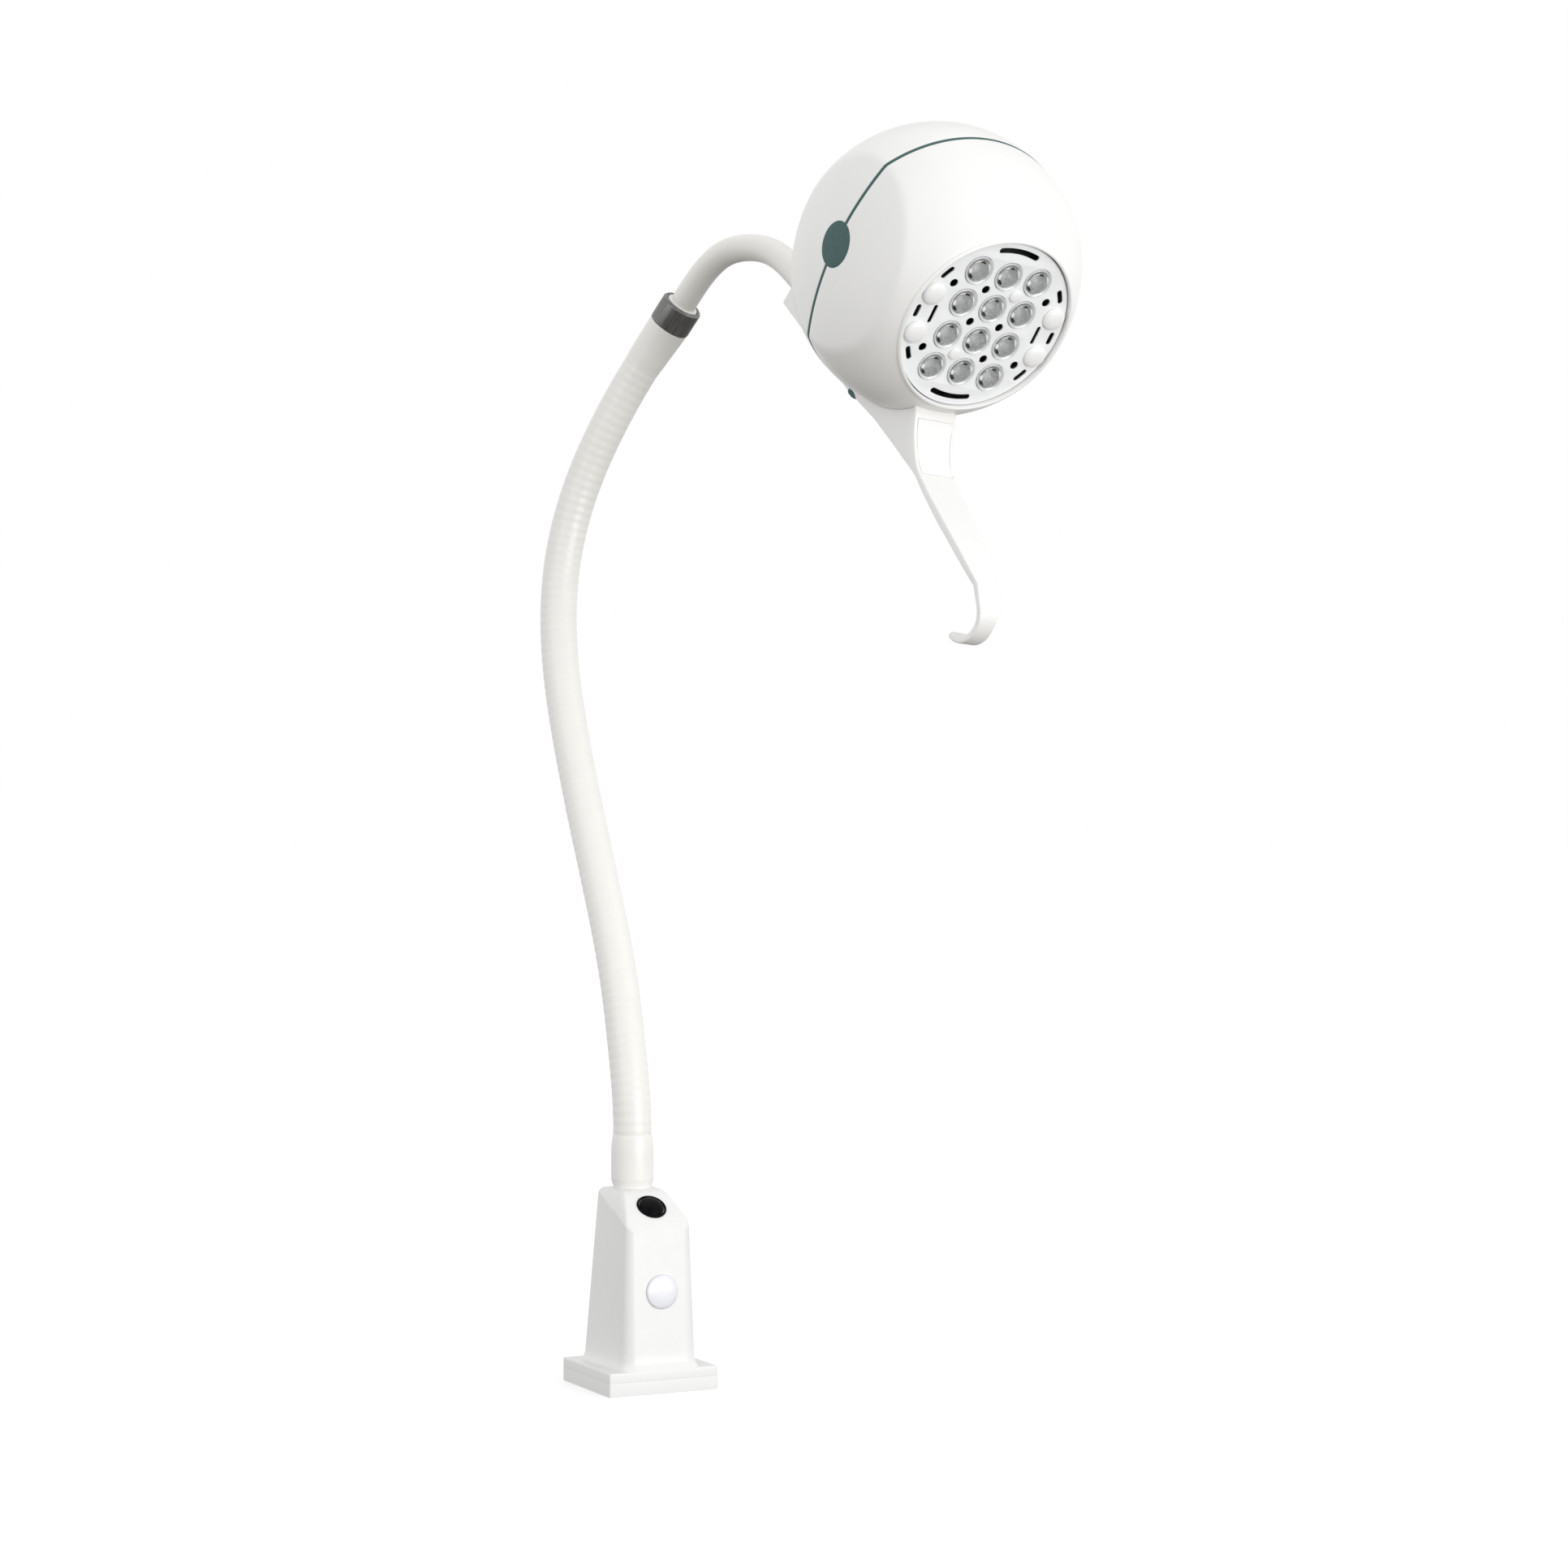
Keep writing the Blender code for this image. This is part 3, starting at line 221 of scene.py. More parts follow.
class Finish:
    """A Principled material built up node by node from a row of LOOKS.  Its patterns lie in
    the piece's own resting shape, stored on the mesh as "local"; a CAD node has none, and
    they lie in its object's space."""

    def __init__(self, name, stretch=(1, 1, 1), own_shape=True):
        self.colour, self.roughness, metallic, tint, wear, relief, values = LOOKS[name]
        self.stretch = stretch
        self.material = bpy.data.materials.new(name)
        self.material.use_nodes = True
        self.tree = self.material.node_tree
        self.shader = self.tree.nodes["Principled BSDF"]
        self.set("Base Color", (*self.colour, 1.0))
        self.set("Roughness", self.roughness)
        self.set("Metallic", metallic)
        for socket, value in values.items():
            self.set(socket, value)
        if own_shape:
            place = self.tree.nodes.new("ShaderNodeAttribute")
            place.attribute_name = "local"
            self.place = place.outputs["Vector"]
        else:
            self.place = self.tree.nodes.new("ShaderNodeTexCoord").outputs["Object"]
        if tint:
            self.tint(*tint)
        if wear:
            self.wear(*wear)
        if relief:
            self.bump(*relief)

    def set(self, socket, value):
        self.shader.inputs[socket].default_value = value

    def feed(self, socket, source):
        self.tree.links.new(source, self.shader.inputs[socket])

    def noise(self, size, detail):
        """A noise of grains about `size` metres across."""
        mapping = self.tree.nodes.new("ShaderNodeMapping")
        mapping.inputs["Scale"].default_value = self.stretch
        self.tree.links.new(self.place, mapping.inputs["Vector"])
        noise = self.tree.nodes.new("ShaderNodeTexNoise")
        noise.inputs["Scale"].default_value = 1.0 / size
        noise.inputs["Detail"].default_value = detail
        self.tree.links.new(mapping.outputs["Vector"], noise.inputs["Vector"])
        return noise.outputs["Fac"]

    def tint(self, size, amount):
        """Vary the colour softly between two close shades."""
        other = tuple(c * (1 - amount) for c in self.colour)
        share = ranged(self.tree, self.noise(size, 2.0), 0.3, 0.7)
        self.feed("Base Color", mixed(self.tree, share, (self.colour, other)))

    def wear(self, size, amount):
        """Vary the roughness."""
        self.feed("Roughness", ranged(self.tree, self.noise(size, 4.0), 0.3, 0.7,
                                      self.roughness - amount, self.roughness + amount))

    def bump(self, size, depth, strength):
        """A fine relief of grains `size` across and `depth` high."""
        node = self.tree.nodes.new("ShaderNodeBump")
        node.inputs["Strength"].default_value = strength
        node.inputs["Distance"].default_value = depth
        self.tree.links.new(self.noise(size, 3.0), node.inputs["Height"])
        self.feed("Normal", node.outputs["Normal"])


# ---------------------------------------------------------------- mesh helpers
def add_to_scene(name, data):
    item = bpy.data.objects.new(name, data)
    bpy.context.scene.collection.objects.link(item)
    return item


def full_turn(sides):
    """The angles of a whole turn, one to each side."""
    return np.linspace(0, 2 * math.pi, sides + 1)[:-1]


def add_piece(name, shape, look, body, replaces=(), place=None, smooth=32, local=None):
    """Put a shape (vertices, faces) in the scene as a piece that rides on a body.  With a
    place, the shape's own coordinates are kept for its material's patterns."""
    vertices, faces = shape
    own = np.array([tuple(v) for v in vertices], float)
    world = own
    if place is not None:
        matrix = np.array(place)
        world = own @ matrix[:3, :3].T + matrix[:3, 3]
    mesh = bpy.data.meshes.new(name)
    mesh.from_pydata(world.tolist(), [], faces)
    store = mesh.attributes.new("local", "FLOAT_VECTOR", "POINT")
    store.data.foreach_set("vector", (own if local is None else local).ravel())
    work = bmesh.new()
    work.from_mesh(mesh)
    bmesh.ops.recalc_face_normals(work, faces=work.faces)
    work.to_mesh(mesh)
    work.free()
    mesh.shade_smooth()
    mesh.set_sharp_from_angle(angle=math.radians(smooth))
    mesh.materials.append(look)
    item = add_to_scene(name, mesh)
    if replaces:
        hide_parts(*replaces)
    if body is not None:
        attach(item, body)
    return item


def loft(rings, closed=False, caps=True):
    """Skin a row of equal rings.  A closed loft joins its last ring to its first."""
    count = len(rings[0])
    vertices = [tuple(point) for ring in rings for point in ring]
    faces = []
    spans = len(rings) if closed else len(rings) - 1
    for i in range(spans):
        a = i * count
        b = ((i + 1) % len(rings)) * count
        for j in range(count):
            k = (j + 1) % count
            faces.append((a + j, a + k, b + k, b + j))
    if not closed and caps:
        faces.append(tuple(range(count)))
        faces.append(tuple(range(len(vertices) - count, len(vertices))))
    return vertices, faces


def soften(corners, steps=4):
    """Round the corners (across, along, reach) of an open outline."""
    outline = []
    last = len(corners) - 1
    for i, (across, along, reach) in enumerate(corners):
        here = Vector((across, along))
        if i in (0, last) or reach == 0:
            outline.append(tuple(here))
            continue
        back = Vector(corners[i - 1][:2]) - here
        ahead = Vector(corners[i + 1][:2]) - here
        start = here + back.normalized() * min(reach, back.length * 0.48)
        end = here + ahead.normalized() * min(reach, ahead.length * 0.48)
        for n in range(steps + 1):
            t = n / steps
            outline.append(tuple((1 - t) ** 2 * start + 2 * t * (1 - t) * here + t * t * end))
    return outline


def turned(profile, sides):
    """Turn a profile of (radius, height) about +Z.  A profile that starts and ends on the
    axis is a solid; any other one is closed into a ring."""
    solid = profile[0][0] == 0 and profile[-1][0] == 0
    body = profile[1:-1] if solid else profile
    turns = full_turn(sides)
    rings = [[(r * math.cos(a), r * math.sin(a), h) for a in turns] for r, h in body]
    vertices, faces = loft(rings, closed=not solid, caps=False)
    if solid:
        for height, first in ((profile[0][1], 0), (profile[-1][1], (len(body) - 1) * sides)):
            vertices.append((0.0, 0.0, height))
            tip = len(vertices) - 1
            for j in range(sides):
                faces.append((first + j, first + (j + 1) % sides, tip))
    return vertices, faces


def swell(radius, base, rise, steps, power):
    """The profile of a cap that swells from its rim at `base` up to the axis."""
    profile = []
    for step in range(steps):
        angle = math.pi / 2 * step / steps
        profile.append((radius * math.cos(angle) ** power, base + rise * math.sin(angle)))
    return profile + [(0, base + rise)]


def joined(shapes):
    """Several separate shapes as one."""
    vertices = []
    faces = []
    for more_vertices, more_faces in shapes:
        first = len(vertices)
        vertices += [tuple(v) for v in more_vertices]
        faces += [tuple(first + i for i in face) for face in more_faces]
    return vertices, faces


def moved(shape, matrix):
    return [tuple(matrix @ Vector(v)) for v in shape[0]], shape[1]


def facing(direction, place=(0, 0, 0)):
    """A matrix that stands a turned piece's +Z along `direction` at `place`."""
    turn = Vector(direction).to_track_quat("Z", "Y").to_matrix().to_4x4()
    return Matrix.Translation(Vector(place)) @ turn


def between(pair, share):
    return pair[0] + share * (pair[1] - pair[0])


# ---------------------------------------------------------------- places from the frame
def corners_of(node):
    """The different corners of a CAD node."""
    found = {tuple(round(c, 6) for c in v.co) for v in frame["nodes"][node].data.vertices}
    return np.array(sorted(found))


def middle_of(node):
    return Vector(corners_of(node).mean(0))


LENSES = ["lens_%d" % n for n in range(1, 13)]


def find_head():
    """The head's own frame, from its side caps and its lenses."""
    right = middle_of("side_cap_right")
    left = middle_of("side_cap_left")
    x = (right - left).normalized()
    z = middle_of(LENSES[1]) - middle_of(LENSES[-2])
    z = (z - x * z.dot(x)).normalized()
    y = z.cross(x)
    turn = Matrix((x, y, z)).transposed()
    seam = (right + left) / 2 - z * FACET_RAISE
    ring = corners_of("seal_ring")
    depths = (ring - np.array(seam)) @ np.array(y)
    assert abs(depths.max() + depths.min()) < 0.001
    return turn.to_4x4(), seam


turn, seam_centre = find_head()
SEAM_Y = 0.0010
HEAD = Matrix.Translation(seam_centre) @ turn @ Matrix.Translation((0, -SEAM_Y, 0))


def head_box(node):
    """Lowest and highest corner of a CAD node in the head's frame."""
    back = np.array(HEAD.inverted())
    points = corners_of(node) @ back[:3, :3].T + back[:3, 3]
    return Vector(points.min(0)), Vector(points.max(0))


# ---------------------------------------------------------------- foot and pedestal
def rounded_slab(low, high, inset, corner, edge):
    """A slab with round corners and a softened top edge, inside a box."""
    half_x = (high.x - low.x) / 2 - inset
    half_y = (high.y - low.y) / 2 - inset
    profile = soften([(0.0, low.z, 0), (0.0, high.z, edge), (edge * 3, high.z, 0)])
    rings = []
    for shrink, height in [(0.0001, low.z), (0.0, low.z + 0.0001)] + profile[1:]:
        ring = []
        for quarter in range(4):
            sx = (1, -1, -1, 1)[quarter]
            sy = (1, 1, -1, -1)[quarter]
            reach = max(corner - shrink, 0.0002)
            for step in range(9):
                angle = math.pi / 2 * (quarter + step / 8)
                ring.append((sx * (half_x - shrink - reach) + reach * math.cos(angle),
                             sy * (half_y - shrink - reach) + reach * math.sin(angle), height))
        rings.append(ring)
    return loft(rings)


def make_foot(paint):
    low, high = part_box("mounting_plate")
    side = high.x
    high.z = FOOT_LINE - 0.00001
    slab = rounded_slab(low, high, 0.0, FOOT_CORNER, 0.00003)
    add_piece("foot_plate_fine", slab, paint, "root", ("mounting_plate",))
    low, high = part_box("foot_cover")
    low.z = FOOT_LINE + 0.00001
    slab = rounded_slab(low, high, high.x - side, FOOT_CORNER, 0.0009)
    add_piece("foot_cover_fine", slab, paint, "root", ("foot_cover",))


FOOT_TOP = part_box("pedestal_housing")[0].z
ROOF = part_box("pedestal_housing")[1].z


def roof_height(y):
    """Flat round the arm, falling to the front, and rounding over into the front face."""
    t = min(max((ROOF_BEND_START - y) / ROOF_BEND, 0.0), 1.0)
    fall = math.tan(ROOF_SLOPE)
    drop = fall * ROOF_BEND * t * t / 2
    if y < ROOF_BEND_START - ROOF_BEND:
        drop += fall * (ROOF_BEND_START - ROOF_BEND - y)
    nose = max(0.0, ROOF_NOSE - y)
    return ROOF - drop - ROOF_NOSE_CURVE * nose * nose


def pedestal_half(height, inset):
    """Right-hand half of the pedestal's section at one height, front to rear."""
    t = (height - FOOT_TOP) / (ROOF - FOOT_TOP)
    front_half = between(PEDESTAL_FRONT_HALF, t) - inset
    rear_half = between(PEDESTAL_REAR_HALF, t) - inset
    front = between(PEDESTAL_FRONT, t) + inset
    rear = between(PEDESTAL_REAR, t) - inset
    corner = max(between(PEDESTAL_CORNER, t) - inset, 0.0004)
    points = []
    for step in range(15):
        angle = -math.pi / 2 + math.pi / 2 * step / 14
        points.append((front_half - corner + corner * math.cos(angle),
                       front + corner + corner * math.sin(angle)))
    for step in range(1, 20):
        points.append((front_half + step / 20 * (rear_half - front_half),
                       front + corner + step / 20 * (rear - front - 2 * corner)))
    for step in range(11):
        angle = math.pi / 2 * step / 10
        points.append((rear_half - corner + corner * math.cos(angle),
                       rear - corner + corner * math.sin(angle)))
    return points


def foot_flare(height):
    """How far the skin curls out where it meets the foot."""
    return FLARE_REACH * min(1.0, max(0.0, 1 - (height - FOOT_TOP) / FLARE_HEIGHT)) ** 2.4


def pedestal_ring(share, over=0.0):
    """One ring of the pedestal's skin, `share` of the way from the foot to the roof's
    bevel and `over` of the way across it."""
    half = []
    for i, (_, y) in enumerate(pedestal_half(ROOF, 0.0)):
        inset = np.interp(y, ROOF_EDGE_Y, ROOF_EDGE_WIDTH) * over
        drop = np.interp(y, ROOF_EDGE_Y, ROOF_EDGE_HEIGHT) * (1 - over) ** 2
        for _ in range(5):
            height = FOOT_TOP + (roof_height(y) - drop - FOOT_TOP) * share
            x, y = pedestal_half(height, inset - foot_flare(height))[i]
        half.append((x, y, height))
    return half + [(-x, y, height) for x, y, height in half[::-1]]


def make_pedestal(paint):
    shares = [0, 0.004, 0.008, 0.012, 0.018, 0.024, 0.030, 0.038, 0.046]
    shares += list(np.linspace(0.06, 0.94, 15)) + [0.99, 0.996, 1.0]
    rings = [pedestal_ring(share) for share in shares]
    rings += [pedestal_ring(1.0, over) for over in [0.05] + list(np.linspace(0.1, 1.0, 12))]
    rings[0] = [(x, y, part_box("foot_cover")[1].z - 0.0002) for x, y, _ in rings[0]]
    vertices, faces = loft(rings, caps=False)
    count = len(rings[0])
    half = count // 2
    # The roof: each right-hand point is joined across to its left-hand twin.
    across = 12
    first = len(vertices) - count
    rows = []
    for j in range(half):
        right = Vector(vertices[first + j])
        left = Vector(vertices[first + count - 1 - j])
        row = [first + j]
        for n in range(1, across):
            point = right.lerp(left, n / across)
            row.append(len(vertices))
            vertices.append((point.x, point.y, point.z))
        row.append(first + count - 1 - j)
        rows.append(row)
    for j in range(half - 1):
        for n in range(across):
            faces.append((rows[j][n], rows[j][n + 1], rows[j + 1][n + 1], rows[j + 1][n]))
    faces.append(tuple(range(count)))
    add_piece("pedestal_fine", (vertices, faces), paint, "root",
              ("pedestal_housing",), smooth=40)


def seat_on_face(fronts, height, sign):
    """Point and outward normal of the pedestal's front (-1) or rear (1) face."""
    low = Vector((0, fronts[0], FOOT_TOP))
    high = Vector((0, fronts[1], ROOF))
    along = (high - low).normalized()
    normal = Vector((0, along.z, -along.y)) * sign
    return low + along * (height - FOOT_TOP), normal


def make_switch():
    black = Finish("switch_black").material
    normal = Vector((0, -math.sin(ROOF_SLOPE), math.cos(ROOF_SLOPE)))
    seat = facing(normal, (0, BUTTON_Y, roof_height(BUTTON_Y)))
    bore = BEZEL_RADIUS - 0.0015
    bezel = soften([(bore, -0.0025, 0), (BEZEL_RADIUS, -0.0025, 0),
                    (BEZEL_RADIUS, 0.0007, 0.0004), (BEZEL_RADIUS - 0.0009, 0.0012, 0.0004),
                    (bore, 0.0010, 0.0003), (bore, -0.0012, 0)])
    add_piece("switch_bezel_fine", turned(bezel, 96), black, "root",
              ("switch_body",), seat)
    cap = [(0, -0.0080), (0.0040, -0.0080), (0.0040, -0.0016), (BUTTON_RADIUS, -0.0016)]
    cap += swell(BUTTON_RADIUS, 0.0004, BUTTON_RISE, 12, 0.85)
    add_piece("switch_button_fine", turned(cap, 96), black, "button",
              ("switch_button",), seat)


def make_badge():
    spot, outward = seat_on_face(PEDESTAL_FRONT, BADGE_HEIGHT, -1)
    seat = facing(outward, spot + Vector((BADGE_SHIFT, 0, 0)))
    disc = soften([(0, 0.0001, 0), (BADGE_RADIUS, 0.0001, 0), (BADGE_RADIUS, 0.0005, 0.0002),
                   (0, 0.0005, 0)])
    add_piece("badge_paper", turned(disc, 96), Finish("badge_paper").material, "root",
              (), seat)
    inner = BADGE_RADIUS - 0.0004
    dome = [(0, 0.0006), (inner - 0.0001, 0.0006)]
    dome += swell(inner, 0.0007, BADGE_RISE - 0.0007, 18, 0.8)
    add_piece("badge_dome_fine", turned(dome, 96), Finish("badge_clear").material, "root",
              ("badge_disc",), seat)


def make_gland():
    low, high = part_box("cable_gland")
    spot, outward = seat_on_face(PEDESTAL_REAR, (low.z + high.z) / 2, 1)
    gland = soften([(0.0028, -0.004, 0), (0.0062, -0.004, 0), (0.0062, 0.0, 0),
                    (0.0082, 0.0, 0.0003), (0.0082, 0.002, 0.0006), (0.0050, 0.0050, 0.0008),
                    (0.0033, 0.0050, 0.0004), (0.0028, 0.0046, 0)])
    add_piece("cable_gland_fine", turned(gland, 72), Finish("inner_black").material, "root",
              ("cable_gland",), facing(outward, spot))


def make_root_sleeve(sheath):
    low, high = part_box("root_sleeve")
    middle = Matrix.Translation(((low.x + high.x) / 2, (low.y + high.y) / 2, 0))
    base = low.z
    top = high.z
    sleeve = soften([(0.0129, base - 0.001, 0), (0.0130, base + 0.0006, 0.0006),
                     (0.0141, base + 0.0046, 0.0012), (0.01435, base + 0.0056, 0.0005),
                     (SLEEVE_RADIUS, base + 0.0120, 0.004), (0.0144, top - 0.010, 0.005),
                     (0.0137, top - 0.0024, 0.003), (0.0131, top + 0.0002, 0.0004),
                     (0.0126, top - 0.0010, 0), (0.0126, base + 0.010, 0),
                     (0.0110, base + 0.008, 0), (0.0110, base - 0.001, 0)])
    add_piece("root_sleeve_fine", turned(sleeve, 96), sheath, "root",
              ("root_sleeve",), middle)


# ---------------------------------------------------------------- arm
class ArmLine:
    """The arm's centre line, measured by its length from the socket's floor."""

    # The centre line's points as the arm is set at rest, from foot to head.
    ROUTE = [(0, 0.0126, 0.170), (0, 0.0205, 0.221), (0, 0.0368, 0.2755), (0, 0.0630, 0.330),
             (0.0005, 0.0945, 0.386), (0.001, 0.1240, 0.444), (0.0015, 0.1435, 0.502),
             (0.006, 0.1500, 0.560), (0.018, 0.1420, 0.618), (0.0335, 0.1260, 0.664),
             (0.0505, 0.1080, 0.703), (0.0660, 0.0845, 0.737), (0.0735, 0.0620, 0.760),
             (0.0810, 0.0370, 0.7745), (0.0885, 0.0130, 0.776), (0.0945, -0.0120, 0.7695)]
    COLLAR = 11                    # the route's point in the middle of the collar

    def __init__(self):
        rear = head_box("head_bracket")[1].y
        entry = HEAD @ Vector((0, rear + 0.004, -ARM_AXIS_DROP))
        end = HEAD @ Vector((0, ARM_END_Y, -ARM_AXIS_DROP))
        knots = np.array(self.ROUTE + [tuple(entry)])
        line = self.spline(knots, (0, 0, 1), tuple((end - entry).normalized()))
        foot = self.ROUTE[0]
        rise = [(foot[0], foot[1], z) for z in np.linspace(SOCKET_FLOOR + 0.001, foot[2], 66)]
        self.points = np.array(rise[:-1] + line + [tuple(end)])
        steps = np.linalg.norm(np.diff(self.points, axis=0), axis=1)
        self.lengths = np.concatenate([[0.0], np.cumsum(steps)])
        self.total = self.lengths[-1]
        self.entry = self.near(entry)
        self.collar = self.near(self.ROUTE[self.COLLAR])
        across = np.array([1.0, 0.0, 0.0])
        carried = []
        for i in range(len(self.points)):
            away = self.points[min(i + 1, len(self.points) - 1)] - self.points[max(i - 1, 0)]
            along = away / np.linalg.norm(away)
            across = across - along * np.dot(across, along)
            across = across / np.linalg.norm(across)
            carried.append(across)
        self.across = np.array(carried)

    @staticmethod
    def spline(knots, start_slope, end_slope):
        """A clamped cubic spline through the knots, as closely spaced positions."""
        gaps = np.linalg.norm(np.diff(knots, axis=0), axis=1)
        count = len(knots)
        system = np.eye(count)
        target = np.zeros((count, 3))
        target[0] = start_slope
        target[-1] = end_slope
        for i in range(1, count - 1):
            before = gaps[i - 1]
            after = gaps[i]
            system[i, i - 1:i + 2] = (after, 2 * (before + after), before)
            target[i] = 3 * (after / before * (knots[i] - knots[i - 1])
                             + before / after * (knots[i + 1] - knots[i]))
        slopes = np.linalg.solve(system, target)
        line = []
        for i in range(count - 1):
            pieces = int(gaps[i] / 0.001)
            for n in range(pieces):
                t = n / pieces
                line.append((2 * t ** 3 - 3 * t ** 2 + 1) * knots[i]
                            + (t ** 3 - 2 * t ** 2 + t) * gaps[i] * slopes[i]
                            + (3 * t ** 2 - 2 * t ** 3) * knots[i + 1]
                            + (t ** 3 - t ** 2) * gaps[i] * slopes[i + 1])
        line.append(knots[-1])
        return line

    def near(self, place):
        """The length at which the line comes nearest to a place."""
        away = np.linalg.norm(self.points - np.array(tuple(place)), axis=1)
        return self.lengths[int(np.argmin(away))]

    def at(self, length):
        return np.array([np.interp(length, self.lengths, self.points[:, k]) for k in range(3)])

    def frame(self, length):
        """Centre, direction, cross direction and the third axis at one length."""
        centre = self.at(length)
        along = self.at(length + 0.003) - self.at(length - 0.003)
        along = along / np.linalg.norm(along)
        across = np.array([np.interp(length, self.lengths, self.across[:, k]) for k in range(3)])
        across = across - along * np.dot(across, along)
        across = across / np.linalg.norm(across)
        return centre, along, across, np.cross(along, across)

    def tube(self, lengths, radii, sides):
        """Rings round the line, and the same rings along a straight axis."""
        turns = full_turn(sides)
        bent = []
        straight = []
        for length, radius in zip(lengths, radii):
            centre, _, across, third = self.frame(length)
            rim = np.outer(np.cos(turns), across) + np.outer(np.sin(turns), third)
            bent.append(centre + radius * rim)
            straight.append(np.stack([radius * np.cos(turns), radius * np.sin(turns),
                                      np.full(sides, length)], axis=1))
        return bent, straight


def ribbed(lengths, start, radius, pitch, depth):
    """Radii of a skin with round ribs `pitch` apart."""
    wave = 0.5 - 0.5 * np.cos(2 * math.pi * (lengths - start) / pitch)
    return radius - depth * (1 - wave)


def sheath_piece(name, line, start, end, shape, look, replaces):
    """One stretch of ribbed sheath, open at both ends like a hose."""
    radius, bore, pitch, depth, step = shape
    count = max(8, int(round((end - start) / step)))
    lengths = np.linspace(start, end, count + 1)
    outer = ribbed(lengths, line.rib_start, radius, pitch, depth)
    skin, skin_local = line.tube(lengths, outer, 56)
    inside = lengths[::6] if count % 6 == 0 else np.append(lengths[::6], lengths[-1])
    hollow, hollow_local = line.tube(inside[::-1], np.full(len(inside), bore), 56)
    rings = skin + hollow
    local = np.concatenate(skin_local + hollow_local)
    return add_piece(name, loft(rings, closed=True), look, None, replaces,
                     smooth=50, local=local)


def make_arm(line, sheath):
    joints = frame["joints"]
    lower = [j for j in joints if j["name"].startswith("lower_bend")]
    upper = [j for j in joints if j["name"].startswith("upper_bend")]
    line.rib_start = line.near((0, line.ROUTE[0][1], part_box("lower_sheath_1")[0].z))

    def on_rib(length):
        """The groove between two ribs nearest to a length."""
        turns = round((length - line.rib_start) / RIB_PITCH)
        return line.rib_start + turns * RIB_PITCH

    places = [line.near(j["pos_m"]) for j in lower]
    ends = [line.rib_start] + [on_rib((a + b) / 2) for a, b in zip(places, places[1:])]
    ends.append(on_rib(places[-1] + LOWER_BLEND + RIB_PITCH))
    coarse = (SHEATH_RADIUS, SHEATH_BORE, RIB_PITCH, RIB_DEPTH, RIB_PITCH / 10)
    for i, joint in enumerate(lower):
        piece = sheath_piece("lower_sheath_%d_fine" % (i + 1), line, ends[i], ends[i + 1],
                             coarse, sheath, ("lower_sheath_%d" % (i + 1),))
        before = min(LOWER_BLEND, places[i] - line.near((0, line.ROUTE[0][1], 0.168)))
        line.at(places[i] - before)
        line.at(places[i] + LOWER_BLEND)
        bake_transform(piece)
    last = sheath_piece("lower_sheath_5_fine", line, ends[-1], line.collar - 0.003, coarse,
                        sheath, ("lower_sheath_5",))
    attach(last, "lower_arm_5")

    places = [line.near(j["pos_m"]) for j in upper]
    ends = [line.collar] + [(a + b) / 2 for a, b in zip(places, places[1:])]
    ends.append(line.entry + 0.006)
    fine = (UPPER_RADIUS, UPPER_BORE, FINE_RIB_PITCH, FINE_RIB_DEPTH, FINE_RIB_PITCH / 5)
    for i, joint in enumerate(upper):
        nodes = ("upper_sheath_%d" % (i + 1),) if i < 2 else ("upper_sheath_3", "upper_sheath_4")
        piece = sheath_piece("upper_sheath_%d_fine" % (i + 1), line, ends[i], ends[i + 1],
                             fine, sheath, nodes)
        line.at(places[i] - UPPER_BLEND)
        line.at(places[i] + UPPER_BLEND)
        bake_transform(piece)


def make_collar(line, sheath):
    centre, along, _, _ = line.frame(line.collar)
    half = COLLAR_LENGTH / 2
    seat = facing(along, centre)
    ring = soften([(0.0124, -half, 0), (COLLAR_RADIUS - 0.0004, -half, 0.0003),
                   (COLLAR_RADIUS, -half + 0.0006, 0.0003),
                   (COLLAR_RADIUS, half - 0.0014, 0.0003),
                   (COLLAR_RADIUS - 0.0013, half, 0.0003), (0.0122, half, 0.0003),
                   (0.0116, half - 0.0010, 0.0002), (0.0116, half - 0.0030, 0)])
    add_piece("collar_ring_fine", turned(ring, 120), Finish("collar_steel", BRUSHED).material,
              "lower_arm_5", ("collar_ring",), seat, smooth=25)
    lip = soften([(UPPER_RADIUS - 0.0006, half - 0.004, 0), (0.0115, half - 0.004, 0),
                  (0.0115, half - 0.0002, 0.0006), (0.0100, half + 0.0005, 0.0006),
                  (UPPER_RADIUS - 0.0006, half + 0.0005, 0)])
    add_piece("collar_lip", turned(lip, 96), sheath, "lower_arm_5", (), seat)
    stations = np.array([-0.046, -0.043, -0.040, -0.036, -0.030, -0.024, -0.016,
                         -half - 0.0012, -half - 0.0008, -half - 0.0007])
    radii = np.array([0.01298, 0.01312, 0.01335, 0.0136, 0.0138, 0.0141, 0.0144, 0.0146, 0.0144,
                      0.0140])
    lengths = np.linspace(stations[0], stations[-1], 70)
    lengths = np.unique(np.concatenate([lengths, stations]))
    outer, outer_local = line.tube(line.collar + lengths, np.interp(lengths, stations, radii), 72)
    inner, inner_local = line.tube(line.collar + lengths[::-12],
                                   np.full(len(lengths[::-12]), SHEATH_RADIUS - 0.0006), 72)
    add_piece("collar_sleeve_fine", loft(outer + inner, closed=True), sheath, "lower_arm_5",
              ("collar_sleeve",), local=np.concatenate(outer_local + inner_local))


